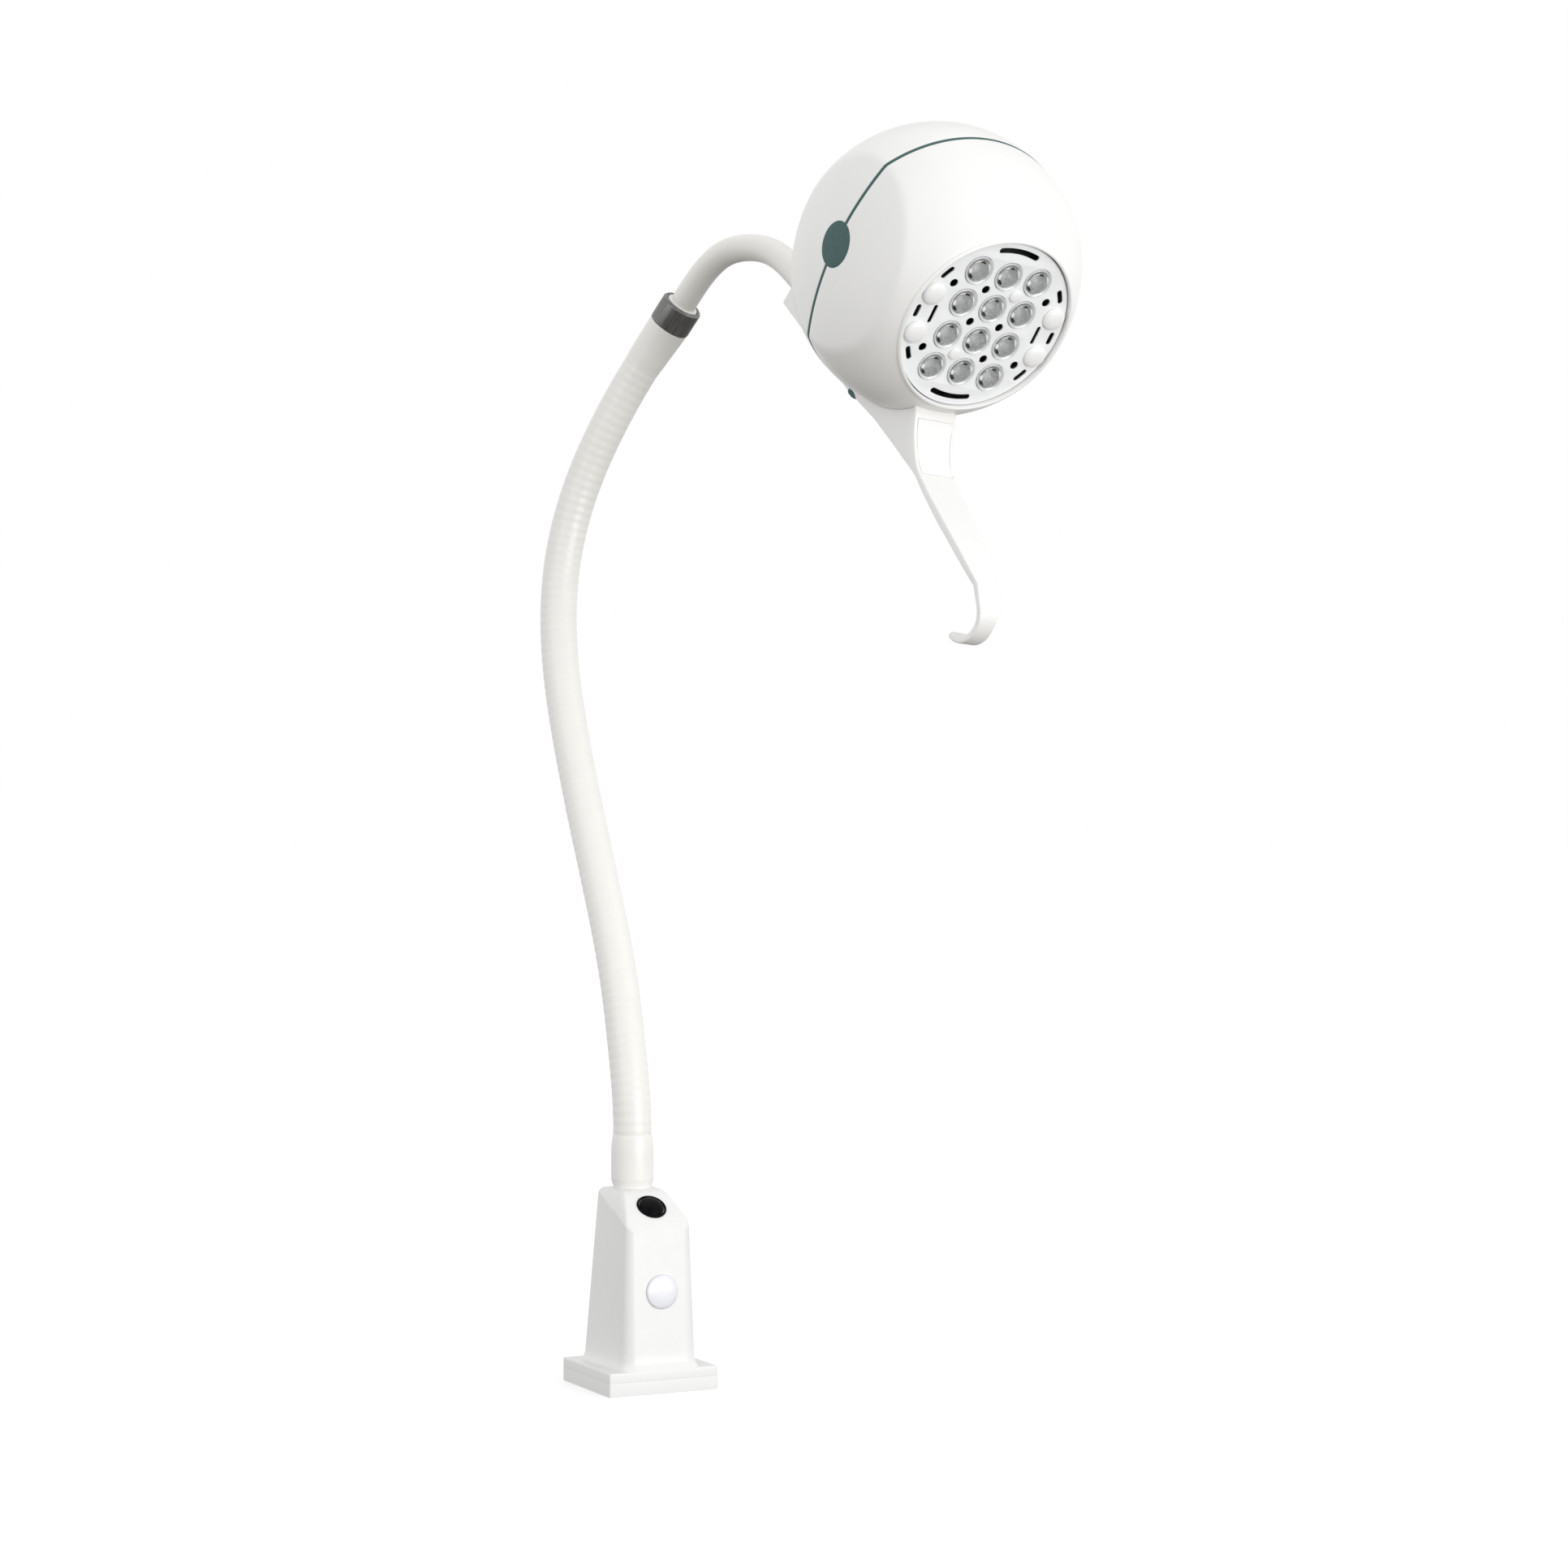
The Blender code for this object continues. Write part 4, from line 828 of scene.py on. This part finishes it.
# ---------------------------------------------------------------- head shells
def shell_reach(directions, inset):
    """Distance from the middle of the seam plane to the shell's skin.  The ball's sides
    are flattened into shallow domes centred on the seam."""
    start = np.array([0, SEAM_Y, 0])
    along = directions @ start
    reach = -along + np.sqrt(along ** 2 - start @ start + (HEAD_RADIUS - inset) ** 2)
    for sign in (1, -1):
        centre = np.array([-sign * (FACET_RADIUS - FACET_APEX), 0, FACET_RAISE])
        toward = directions @ centre
        facet = toward + np.sqrt(toward ** 2 - centre @ centre + (FACET_RADIUS - inset) ** 2)
        crease = between(CREASE, np.clip(np.abs(directions[:, 1]) / 0.30, 0.0, 1.0))
        mix = np.maximum(crease - np.abs(facet - reach), 0.0) / crease
        reach = np.minimum(facet, reach) - mix * mix * crease / 4
    return reach


def shell_ring(polar, sides, inset, shift=0.0):
    """One ring of skin, `polar` radians from straight ahead."""
    turns = full_turn(sides)
    directions = np.stack([math.sin(polar) * np.cos(turns), np.full(sides, -math.cos(polar)),
                           math.sin(polar) * np.sin(turns)], axis=1)
    ring = directions * shell_reach(directions, inset)[:, None]
    ring[:, 1] += SEAM_Y + shift
    return ring


def circle_y(radius, y, sides):
    turns = full_turn(sides)
    return np.stack([radius * np.cos(turns), np.full(sides, y), radius * np.sin(turns)], axis=1)


def make_shells(white):
    sides = 300
    rim_front = -head_box("front_shell")[0].y
    edge = SEAL_HALF + 0.00005
    soft = 0.00022                 # rounding of the shells' edges at the seam
    square = math.pi / 2
    rim_polar = math.asin((RIM_RADIUS - 0.0010) / HEAD_RADIUS) + 0.0075

    def skin(far, bands, toward, inset):
        """Rings from the seam to `far`, drawn clear of the seal."""
        shares = np.linspace(0, 1, bands + 1)
        return [shell_ring(square + (far - square) * s, sides, inset, toward * edge * (1 - s))
                for s in shares]

    def rolled_edge(toward):
        """The rounded edge of an outer skin at the seam."""
        return [shell_ring(square, sides, soft * (1 - math.sin(a)),
                           toward * (edge + soft * (1 - math.cos(a))))
                for a in np.linspace(0, square, 5)]

    outer = rolled_edge(-1) + skin(rim_polar, 60, -1, 0.0)[2:]
    foot = outer[-1][0]
    lip = soften([(math.hypot(foot[0], foot[2]), foot[1], 0),
                  (RIM_RADIUS + 0.0004, foot[1] - 0.0005, 0.0008),
                  (RIM_RADIUS - 0.0002, -rim_front + 0.0005, 0.0008),
                  (RIM_RADIUS - 0.0012, -rim_front, 0.0006),
                  (RIM_BORE + 0.0001, -rim_front + 0.0002, 0.0004),
                  (RIM_BORE, -rim_front + 0.0080, 0.0003),
                  (RIM_BORE + 0.0024, -rim_front + 0.0084, 0.0)], 6)[1:]
    lip = [circle_y(radius, y, sides) for radius, y in lip]
    inner = skin(rim_polar, 20, -1, SHELL_WALL)[::-1]
    inner[-1] = shell_ring(square, sides, SHELL_WALL, -edge)
    add_piece("front_shell_fine", loft(outer + lip + inner, closed=True), white, "head",
              ("front_shell",), HEAD, 50)

    closing = math.radians(1.2)
    outer = rolled_edge(1) + skin(math.pi - closing, 80, 1, 0.0)[2:]
    inner = skin(math.pi - closing, 24, 1, SHELL_WALL)[::-1]
    add_piece("rear_shell_fine", loft(outer[::-1] + inner[::-1]), white, "head",
              ("rear_shell",), HEAD, 50)


def make_seal(green):
    proud = -0.00012
    section = [(0.0006, -SEAL_HALF), (0.0, -SEAL_HALF * 0.97), (proud, -SEAL_HALF * 0.75),
               (proud, SEAL_HALF * 0.75), (0.0, SEAL_HALF * 0.97), (0.0006, SEAL_HALF),
               (0.0040, SEAL_HALF), (0.0040, -SEAL_HALF)]
    rings = [shell_ring(math.pi / 2, 360, inset, shift) for inset, shift in section]
    add_piece("seal_ring_fine", loft(rings, closed=True), green, "head",
              ("seal_ring",), HEAD, 50)


def make_side_caps(green):
    low, high = head_box("side_cap_right")
    radius = (high.z - low.z) / 2

    def dome(r):
        return -r * r / (2 * FACET_RADIUS)

    cap = [(0, -0.0008), (radius, dome(radius) - 0.0006), (radius, dome(radius) + 0.00005),
           (radius - 0.0002, dome(radius) + 0.00025)]
    for step in range(7, -1, -1):
        r = (radius - 0.0006) * step / 7
        cap.append((r, dome(r) + 0.00032))
    for side, sign in (("right", 1), ("left", -1)):
        add_piece("side_cap_%s_fine" % side, turned(cap, 120), green, "head",
                  ("side_cap_" + side,),
                  HEAD @ facing((sign, 0, 0), (sign * FACET_APEX, SEAM_Y, FACET_RAISE)))


# ---------------------------------------------------------------- light unit
def slot_outline(points, width, steps=10):
    """The outline of a round-ended slot along a row of points."""
    half = width / 2
    path = [Vector(point) for point in points]
    outline = []
    for row in (path, path[::-1]):
        for i, point in enumerate(row):
            ahead = row[min(i + 1, len(row) - 1)] - row[max(i - 1, 0)]
            outline.append(point + Vector((-ahead.y, ahead.x)).normalized() * half)
        ahead = (row[-1] - row[-2]).normalized()
        side = Vector((-ahead.y, ahead.x))
        for n in range(1, steps):
            angle = math.pi * n / steps
            outline.append(row[-1] + half * (side * math.cos(angle) + ahead * math.sin(angle)))
    return outline


def vent_slots():
    """Centre lines (x, z) in lens pitches and widths of the vent slots in the face plate."""
    slots = []
    for base in (90, -90):
        arc = np.radians(base + np.linspace(-15, 15, 21))
        slots.append(([(2.27 * math.cos(a), 2.27 * math.sin(a)) for a in arc], 0.0038))
    for base in (33, 147, 213, 327):
        arc = np.radians(base + np.linspace(-3.6, 3.6, 7))
        slots.append(([(2.30 * math.cos(a), 2.30 * math.sin(a)) for a in arc], 0.0034))
    for side in (1, -1):
        slots.append(([(2.29 * side, -0.12), (2.29 * side, 0.12)], 0.0034))
        slots.append(([(1.77 * side, -0.22), (1.77 * side, 0.22)], 0.0027))
    return slots


VENT_HOLES = ((1.58, 1.0), (1.58, -1.0), (-1.58, 1.0), (-1.58, -1.0), (0.5, 0.0),
              (-0.5, 0.0), (-0.5, 1.0), (0.5, -1.0))


def round_outline(x, z, radius, sides):
    turns = full_turn(sides)
    return [Vector((x + radius * math.cos(a), z + radius * math.sin(a))) for a in turns]


def pierced_plate(name, outlines, thickness, edge):
    """A flat plate with openings and softened edges, its front at z = 0."""
    curve = bpy.data.curves.new(name, "CURVE")
    curve.dimensions = "2D"
    curve.fill_mode = "BOTH"
    curve.extrude = thickness / 2 - edge
    curve.bevel_depth = edge
    curve.bevel_resolution = 2
    curve.offset = -edge
    for outline in outlines:
        spline = curve.splines.new("POLY")
        spline.points.add(len(outline) - 1)
        for point, place in zip(spline.points, outline):
            point.co = (place.x, place.y, 0, 1)
        spline.use_cyclic_u = True
    maker = add_to_scene(name + "_outline", curve)
    bpy.context.view_layer.update()
    graph = bpy.context.evaluated_depsgraph_get()
    mesh = bpy.data.meshes.new_from_object(maker.evaluated_get(graph))
    bpy.data.objects.remove(maker)
    bpy.data.curves.remove(curve)
    work = bmesh.new()
    work.from_mesh(mesh)
    bmesh.ops.remove_doubles(work, verts=work.verts, dist=0.000002)
    bmesh.ops.translate(work, verts=work.verts, vec=(0, 0, -thickness / 2))
    work.verts.index_update()
    vertices = [tuple(v.co) for v in work.verts]
    faces = [tuple(v.index for v in f.verts) for f in work.faces]
    work.free()
    bpy.data.meshes.remove(mesh)
    return vertices, faces


PLATE_FRONT = head_box("face_plate")[0].y
ON_FACE = HEAD @ Matrix.Translation((0, PLATE_FRONT, 0)) @ Matrix(
    ((1, 0, 0, 0), (0, 0, -1, 0), (0, 1, 0, 0), (0, 0, 0, 1)))


def spot_of(node):
    """Middle (x, z) and radius of a round CAD node on the face plate."""
    low, high = head_box(node)
    return (low.x + high.x) / 2, (low.z + high.z) / 2, (high.x - low.x) / 2


LENS_RADIUS = spot_of(LENSES[0])[2]


def make_face_plate():
    outlines = [round_outline(0, 0, spot_of("face_plate")[2] - 0.0002, 240)]
    for name in LENSES:
        x, z, _ = spot_of(name)
        outlines.append(round_outline(x, z, LENS_RADIUS + 0.0009, 64))
    for column, row in VENT_HOLES:
        outlines.append(round_outline(column * LENS_PITCH, row * LENS_PITCH, 0.0028, 32))
    for points, width in vent_slots():
        outlines.append(slot_outline([Vector(p) * LENS_PITCH for p in points], width))
    plate = pierced_plate("face_plate_fine", outlines, PLATE_THICKNESS, 0.00022)
    add_piece("face_plate_fine", plate, Finish("plate_silver").material, "head",
              ("face_plate",), ON_FACE, 30)


def make_plugs(plug_and_glint_white):
    """The white domed caps on the plate."""
    for label in ("cover_dome", "screw_dome"):
        for name in sorted(n for n in frame["nodes"] if n.startswith(label)):
            x, z, radius = spot_of(name)
            rise = PLATE_FRONT - head_box(name)[0].y
            dome = [(0, 0.0001), (radius - 0.0004, 0.0001), (radius, 0.0004)]
            dome += swell(radius, 0.0006, rise - 0.0006, 14, 0.8)
            add_piece(name + "_fine", turned(dome, 72), plug_and_glint_white, "head", (name,),
                      HEAD @ facing((0, -1, 0), (x, PLATE_FRONT, z)), 50)


def arc_pad(radius_in, radius_out, start, stop):
    """A thin curved pad on the edge of the lens; the pads paint dark reflections and white glints."""
    rings = []
    for degrees in np.linspace(start, stop, 9):
        angle = math.radians(degrees)
        taper = 0.35 + 0.65 * math.sin(math.pi * (degrees - start) / (stop - start))
        middle = (radius_in + radius_out) / 2
        half = (radius_out - radius_in) / 2 * taper
        rings.append([(r * math.cos(angle), r * math.sin(angle), z)
                      for r, z in ((middle - half, -0.0004), (middle + half, -0.0004),
                                   (middle + half, PAD_TOP - 0.0006), (middle - half, PAD_TOP))])
    return loft(rings)


def make_lenses(plug_and_glint_white):
    """Each lens is a clear dome in a frosted flange, over a bright cup with an LED ring."""
    clear = Finish("lens_clear").material
    frosted = Finish("flange_clear").material
    inner = LENS_RADIUS - 0.0012
    dome = [(0, -0.0012), (inner - 0.0001, -0.0012)]
    dome += swell(inner - 0.0001, -0.0008, 0.0021, 14, 0.9)
    outer = LENS_RADIUS + 0.0006
    flange = soften([(inner, -0.0014, 0), (outer, -0.0014, 0.0002), (outer, 0.0005, 0.0003),
                     (outer - 0.0004, 0.0009, 0.0003), (outer - 0.0009, 0.0004, 0.0002),
                     (inner + 0.0001, 0.0000, 0.0002), (inner - 0.0001, -0.0008, 0)])
    cup = [(inner + 0.0004, -0.0015), (inner, -0.0015), (inner - 0.0004, -0.0022),
           (0.0066, -0.0046), (0.0052, -0.0068), (0.0036, -0.0086), (0.0028, -0.0092),
           (0.0028, -0.0098), (0.0040, -0.0096), (0.0058, -0.0072), (0.0072, -0.0048),
           (inner + 0.0004, -0.0024)]
    led = soften([(0, -0.0100, 0), (0.0027, -0.0100, 0), (0.0027, -0.0086, 0.0003),
                  (0.0021, -0.0084, 0.0002), (0.0020, -0.0090, 0.0002), (0.0016, -0.0088, 0.0004),
                  (0.0008, -0.0078, 0.0006), (0, -0.0076, 0)])
    cups = []
    leds = []
    dark = []
    bright = []
    for name in LENSES:
        x, z, _ = spot_of(name)
        spot = Matrix.Translation((x, z, 0))
        add_piece(name + "_dome", turned(dome, 64), clear, "head", (name,),
                  ON_FACE @ spot, 50)
        cups.append(moved(turned(cup, 64), spot))
        leds.append(moved(turned(led, 40), spot))
        add_piece(name + "_flange", moved(turned(flange, 64), spot), frosted, "head",
                  (), ON_FACE, 40)
        # Pads on each cup's edge: painted dark reflections and painted white glints.
        dark += [moved(arc_pad(*dark_reflection), spot) for dark_reflection in CUP_PAINTED_DARK_REFLECTIONS]
        bright += [moved(arc_pad(*clip), spot) for clip in CUP_PAINTED_GLINTS]
    add_piece("reflector_cups", joined(cups), Finish("reflector_silver").material, "head",
              (), ON_FACE, 20)
    add_piece("led_emitters", joined(leds), Finish("led_yellow").material, "head",
              (), ON_FACE, 30)
    # Painted dark reflections in the lens cups.
    add_piece("cup_painted_dark_reflections", joined(dark), Finish("inner_black").material, "head",
              (), ON_FACE, 30)
    # Painted white glints in the lens cups, in the plugs' white.
    add_piece("cup_painted_glints", joined(bright), plug_and_glint_white, "head", (), ON_FACE, 30)


# ---------------------------------------------------------------- bracket and handle
def bracket_knots():
    """Cuts of the handle from the ball's front edge to the hook: low (ahead, up), high,
    and half width."""
    return [((0.0630, -0.0984), (0.0630, -0.0662), 0.0161),
            ((0.0665, -0.0985), (0.0665, -0.0688), 0.0162),
            ((0.0740, -0.0991), (0.0715, -0.0765), 0.0160),
            ((0.0830, -0.0999), (0.0790, -0.0858), 0.0153),
            ((0.0920, -0.1010), (0.0905, -0.0950), 0.0148),
            ((0.1060, -0.1050), (0.1066, -0.1000), 0.0142),
            ((0.1275, -0.1100), (0.1288, -0.1044), 0.0136),
            ((0.1455, -0.1135), (0.1468, -0.1080), 0.0128),
            ((0.1602, -0.1166), (0.1622, -0.1112), 0.0118),
            ((0.1730, -0.1196), (0.1755, -0.1147), 0.0103),
            ((0.1838, -0.1226), (0.1872, -0.1186), 0.0082)]


def through(knots, steps):
    """Points on a smooth curve through rows of numbers, `steps` to each span."""
    rows = np.array(knots, float)
    padded = np.vstack([2 * rows[0] - rows[1], rows, 2 * rows[-1] - rows[-2]])
    made = []
    for i in range(1, len(padded) - 2):
        a, b, c, d = padded[i - 1:i + 3]
        for n in range(steps):
            t = n / steps
            made.append(0.5 * (2 * b + (c - a) * t + (2 * a - 5 * b + 4 * c - d) * t * t
                               + (3 * b - 3 * c + d - a) * t ** 3))
    made.append(rows[-1])
    return made


def bracket_cuts():
    """Cuts (low ahead, low up, high ahead, high up, half width) from rear to hook."""
    rear = head_box("head_bracket")[1].y
    rear_top = -0.0690
    cuts = [(-rear, -BRACKET_BOTTOM, -rear + 0.003, rear_top, 0.0150),
            (-0.0900, -0.0965, -0.0900, rear_top, 0.0155)]
    saddle = HEAD_RADIUS - 0.0012
    meets = math.acos(-rear_top / saddle)
    for lean in np.linspace(-meets, math.asin(0.0630 / saddle), 60)[:-1]:
        ahead = saddle * math.sin(lean)
        bottom = np.interp(ahead, (-0.065, -0.008, 0.030, 0.063),
                           (-0.0970, -0.0991, -0.0972, -0.0984))
        cuts.append((ahead, bottom, ahead, -saddle * math.cos(lean), 0.0160))
    knots = [(*low, *high, half) for low, high, half in bracket_knots()]
    cuts += [tuple(row) for row in through(knots, 7)]
    middle = Vector(HOOK_MIDDLE)
    for degrees in range(46, -93, -4):
        angle = math.radians(degrees)
        outward = Vector((math.cos(angle), math.sin(angle)))
        low = middle + outward * HOOK_INNER
        high = middle + outward * HOOK_OUTER
        half = between((0.0080, 0.0064), min(1.0, (46 - degrees) / 40))
        cuts.append((*low, *high, half))
    return cuts


def bracket_ring(cut_line, trim, shrink=0.0):
    """The outline of one cut: a flat bar with round edges."""
    low = Vector(cut_line[:2])
    up = Vector(cut_line[2:4]) - low
    height = up.length
    up = up / height
    low = low + up * shrink
    height -= 2 * shrink
    half = cut_line[4] - shrink
    edge = min(trim, height * 0.42)
    ring = []
    for across, rise, start in ((half - edge, edge, -90), (half - edge, height - edge, 0),
                                (-half + edge, height - edge, 90), (-half + edge, edge, 180)):
        for step in range(5):
            angle = math.radians(start + 22.5 * step)
            point = low + up * (rise + edge * math.sin(angle))
            ring.append((across + edge * math.cos(angle), -point.x, point.y))
    return ring


def cut_away(item, cutters):
    """Subtract hidden shapes from a piece for good, keeping its pattern coordinates."""
    vertices, faces = joined(cutters)
    mesh = bpy.data.meshes.new("cutter")
    mesh.from_pydata(vertices, [], faces)
    work = bmesh.new()
    work.from_mesh(mesh)
    bmesh.ops.recalc_face_normals(work, faces=work.faces)
    work.to_mesh(mesh)
    work.free()
    cutter = bpy.data.objects.new("cutter", mesh)
    bpy.context.scene.collection.objects.link(cutter)
    change = item.modifiers.new("openings", "BOOLEAN")
    change.operation = "DIFFERENCE"
    change.solver = "EXACT"
    change.object = cutter
    bpy.context.view_layer.update()
    graph = bpy.context.evaluated_depsgraph_get()
    item.data = bpy.data.meshes.new_from_object(item.evaluated_get(graph))
    item.modifiers.clear()
    bpy.data.objects.remove(cutter)
    item.data.shade_smooth()
    item.data.set_sharp_from_angle(angle=math.radians(32))


def panel_shape(deep, proud, trim, edge):
    """The inset cover on the bracket's front strip, between two depths."""
    line = [(0.0690, -0.0718, 0.0161), (0.0735, -0.0792, 0.0158), (0.0790, -0.0858, 0.0153),
            (0.0860, -0.0921, 0.0150), (0.0950, -0.0970, 0.0146)]
    fine = through(line, 6)
    rings = []
    for i, (ahead_at, up_at, half) in enumerate(fine):
        before = fine[max(i - 1, 0)]
        after = fine[min(i + 1, len(fine) - 1)]
        along = Vector((after[0] - before[0], after[1] - before[1])).normalized()
        point = Vector((ahead_at, up_at))
        if i == 0:
            point += along * trim
        if i == len(fine) - 1:
            point -= along * trim
        outward = Vector((-along.y, along.x))
        if outward.x < 0:
            outward = -outward
        low = point - outward * deep
        high = point + outward * proud
        under = point + outward * (proud - edge)
        width = half - 0.0022 - trim
        rings.append([(-width, -low.x, low.y), (width, -low.x, low.y),
                      (width, -under.x, under.y), (width - edge, -high.x, high.y),
                      (-width + edge, -high.x, high.y), (-width, -under.x, under.y)])
    return loft(rings)


def make_bracket(white):
    cuts = bracket_cuts()
    trim = 0.0011
    rings = [bracket_ring(cuts[0], trim, 0.0007)]
    rings += [bracket_ring(cut_line, trim) for cut_line in cuts]
    tip = cuts[-1]
    direction = Vector((tip[0] - cuts[-2][0], tip[1] - cuts[-2][1])).normalized()
    for reach, shrink in ((0.0008, 0.0003), (0.0014, 0.0009), (0.0017, 0.0016)):
        end = (tip[0] + direction.x * reach, tip[1] + direction.y * reach,
               tip[2] + direction.x * reach, tip[3] + direction.y * reach, tip[4])
        rings.append(bracket_ring(end, trim, shrink))
    bracket = add_piece("head_bracket_fine", loft(rings), white, "head",
                        ("head_bracket",), HEAD, 32)
    rear = head_box("head_bracket")[1].y
    bore = turned([(0, 0), (UPPER_RADIUS + 0.0004, 0), (UPPER_RADIUS + 0.0004, 0.045),
                   (0, 0.045)], 64)
    screw_low, screw_high = head_box("clamp_screw")
    screw = ((screw_low.x + screw_high.x) / 2, (screw_low.y + screw_high.y) / 2, -0.11)
    hole = turned([(0, 0), (0.0029, 0), (0.0029, 0.025), (0, 0.025)], 32)
    cutters = [moved(bore, facing((0, -1, 0), (0, rear + 0.006, -ARM_AXIS_DROP))),
               moved(hole, facing((0, 0, 1), screw)), panel_shape(0.0016, 0.004, 0.0, 0.0001)]
    cut_away(bracket, [moved(shape, HEAD) for shape in cutters])


def make_bracket_pad(green):
    """The green pad between the bracket and the underside of the ball."""
    pad = [(0.0160, -0.0961), (0.0164, -0.0964), (0.0164, -0.0988), (0.0156, -0.1000),
           (-0.0156, -0.1000), (-0.0164, -0.0988), (-0.0164, -0.0964), (-0.0160, -0.0961)]
    rings = [[(x * wide, y, -0.0981 + (z + 0.0981) * tall) for x, z in pad]
             for y, wide, tall in ((0.0068, 0.985, 0.7), (0.0064, 1.0, 0.95), (0.0058, 1.0, 1.0),
                                   (0.0010, 1.0, 1.0), (-0.0022, 0.998, 0.6), (-0.0040, 0.98, 0.2))]
    add_piece("bracket_gasket", loft(rings), green, "head", (), HEAD, 40)


def make_handle_panel(white):
    add_piece("handle_panel_fine", panel_shape(0.0013, 0.00005, 0.00022, 0.00015), white, "head",
              ("handle_panel",), HEAD, 30)


# ---------------------------------------------------------------- carried-over CAD nodes
def dress_inner_nodes():
    steel = Finish("inner_steel", own_shape=False).material
    others = {"heat_sink": "heat_sink_metal", "led_board": "board_dark",
              "driver_module": "inner_black"}
    others = {node: Finish(look, own_shape=False).material for node, look in others.items()}
    for name, item in frame["nodes"].items():
        item.data.materials.clear()
        item.data.materials.append(others.get(name, steel))


# ---------------------------------------------------------------- studio
SKY_WHITE = (1.0, 1.0, 1.0)
SKY_TOP = (0.84, 0.84, 0.84)
SHADE_BELOW = (0.32, 0.312, 0.30)          # soft dark that the underside sees
FLOOR_FAR = (0.98, 0.98, 0.98)
FLOOR_RINGS = (0.3, 0.6, 1.0, 1.6, 2.5, 4.0, 7.0, 12.0, 20.0)
# Soft lights: place, size (m) and power (W).
LIGHTS = {"key": ((1.55, -1.55, 1.75), (1.3, 1.3), 3.5),
          "front": ((0.65, -2.2, 0.30), (1.5, 0.55), 21.5),
          "fill": ((-2.0, -1.0, 1.2), (1.2, 1.8), 5.8),
          "top": ((0.2, 0.4, 2.3), (1.4, 1.4), 2)}
LIGHTS_AIM = (0.05, -0.02, 0.5)
CAMERA_PLACE = (-0.9636, -2.151, 0.4057)
CAMERA_TURN = (90, 0, -26.5)
CAMERA_LENS = 80


def make_floor():
    sides = 96
    turns = full_turn(sides)
    rings = [[(r * math.cos(a), r * math.sin(a), 0.0) for a in turns] for r in FLOOR_RINGS]
    vertices, faces = loft(rings[::-1], caps=False)
    faces.append(tuple(range(len(vertices) - sides, len(vertices))))
    mesh = bpy.data.meshes.new("floor")
    mesh.from_pydata(vertices, [], faces)
    floor = add_to_scene("floor", mesh)
    finish = Finish("floor_pale", own_shape=False)
    # Painted shade: the floor's colour darkens towards the lamp's foot, standing in for the lights'
    # falloff.
    distance = finish.tree.nodes.new("ShaderNodeVectorMath")
    distance.operation = "LENGTH"
    finish.tree.links.new(finish.place, distance.inputs[0])
    share = ranged(finish.tree, distance.outputs["Value"], 0.4, 3.0)
    finish.feed("Base Color", mixed(finish.tree, share, (finish.colour, FLOOR_FAR)))
    mesh.materials.append(finish.material)
    floor.visible_diffuse = False
    floor.visible_glossy = False


def make_lights():
    for name, (place, size, power) in LIGHTS.items():
        lamp = bpy.data.lights.new(name, "AREA")
        lamp.shape = "RECTANGLE"
        lamp.size, lamp.size_y = size
        lamp.energy = power
        item = add_to_scene(name, lamp)
        item.location = place
        item.rotation_euler = (Vector(LIGHTS_AIM) - Vector(place)).to_track_quat("-Z", "Y").to_euler()


def make_sky():
    """White round the horizon, a little darker overhead and much darker below."""
    world = bpy.data.worlds.new("studio")
    bpy.context.scene.world = world
    world.use_nodes = True
    tree = world.node_tree
    place = tree.nodes.new("ShaderNodeTexCoord")
    split = tree.nodes.new("ShaderNodeSeparateXYZ")
    tree.links.new(place.outputs["Generated"], split.inputs["Vector"])
    height = split.outputs["Z"]
    low = mixed(tree, ranged(tree, height, -0.30, -0.02), (SHADE_BELOW, SKY_WHITE))
    sky = mixed(tree, ranged(tree, height, 0.25, 0.55), (low, SKY_TOP))
    tree.links.new(sky, tree.nodes["Background"].inputs["Color"])


def make_camera():
    lens = bpy.data.cameras.new("camera")
    lens.lens = CAMERA_LENS
    lens.sensor_width = 36
    camera = add_to_scene("camera", lens)
    camera.location = CAMERA_PLACE
    camera.rotation_euler = [math.radians(angle) for angle in CAMERA_TURN]
    bpy.context.scene.camera = camera
    bpy.context.scene.view_settings.view_transform = "Standard"


# ---------------------------------------------------------------- the lamp
paint = Finish("base_paint").material
white = Finish("shell_white").material
sheath = Finish("sheath_white").material
green = Finish("gasket_green").material
plug_and_glint_white = Finish("dome_white").material
dress_inner_nodes()
make_foot(paint)
make_pedestal(paint)
make_switch()
make_badge()
make_gland()
make_root_sleeve(sheath)
arm = ArmLine()
make_arm(arm, sheath)
make_collar(arm, sheath)
make_shells(white)
make_seal(green)
make_side_caps(green)
make_face_plate()
make_lenses(plug_and_glint_white)
make_plugs(plug_and_glint_white)
make_bracket(white)
make_bracket_pad(green)
make_handle_panel(white)
make_floor()
make_lights()
make_sky()
make_camera()
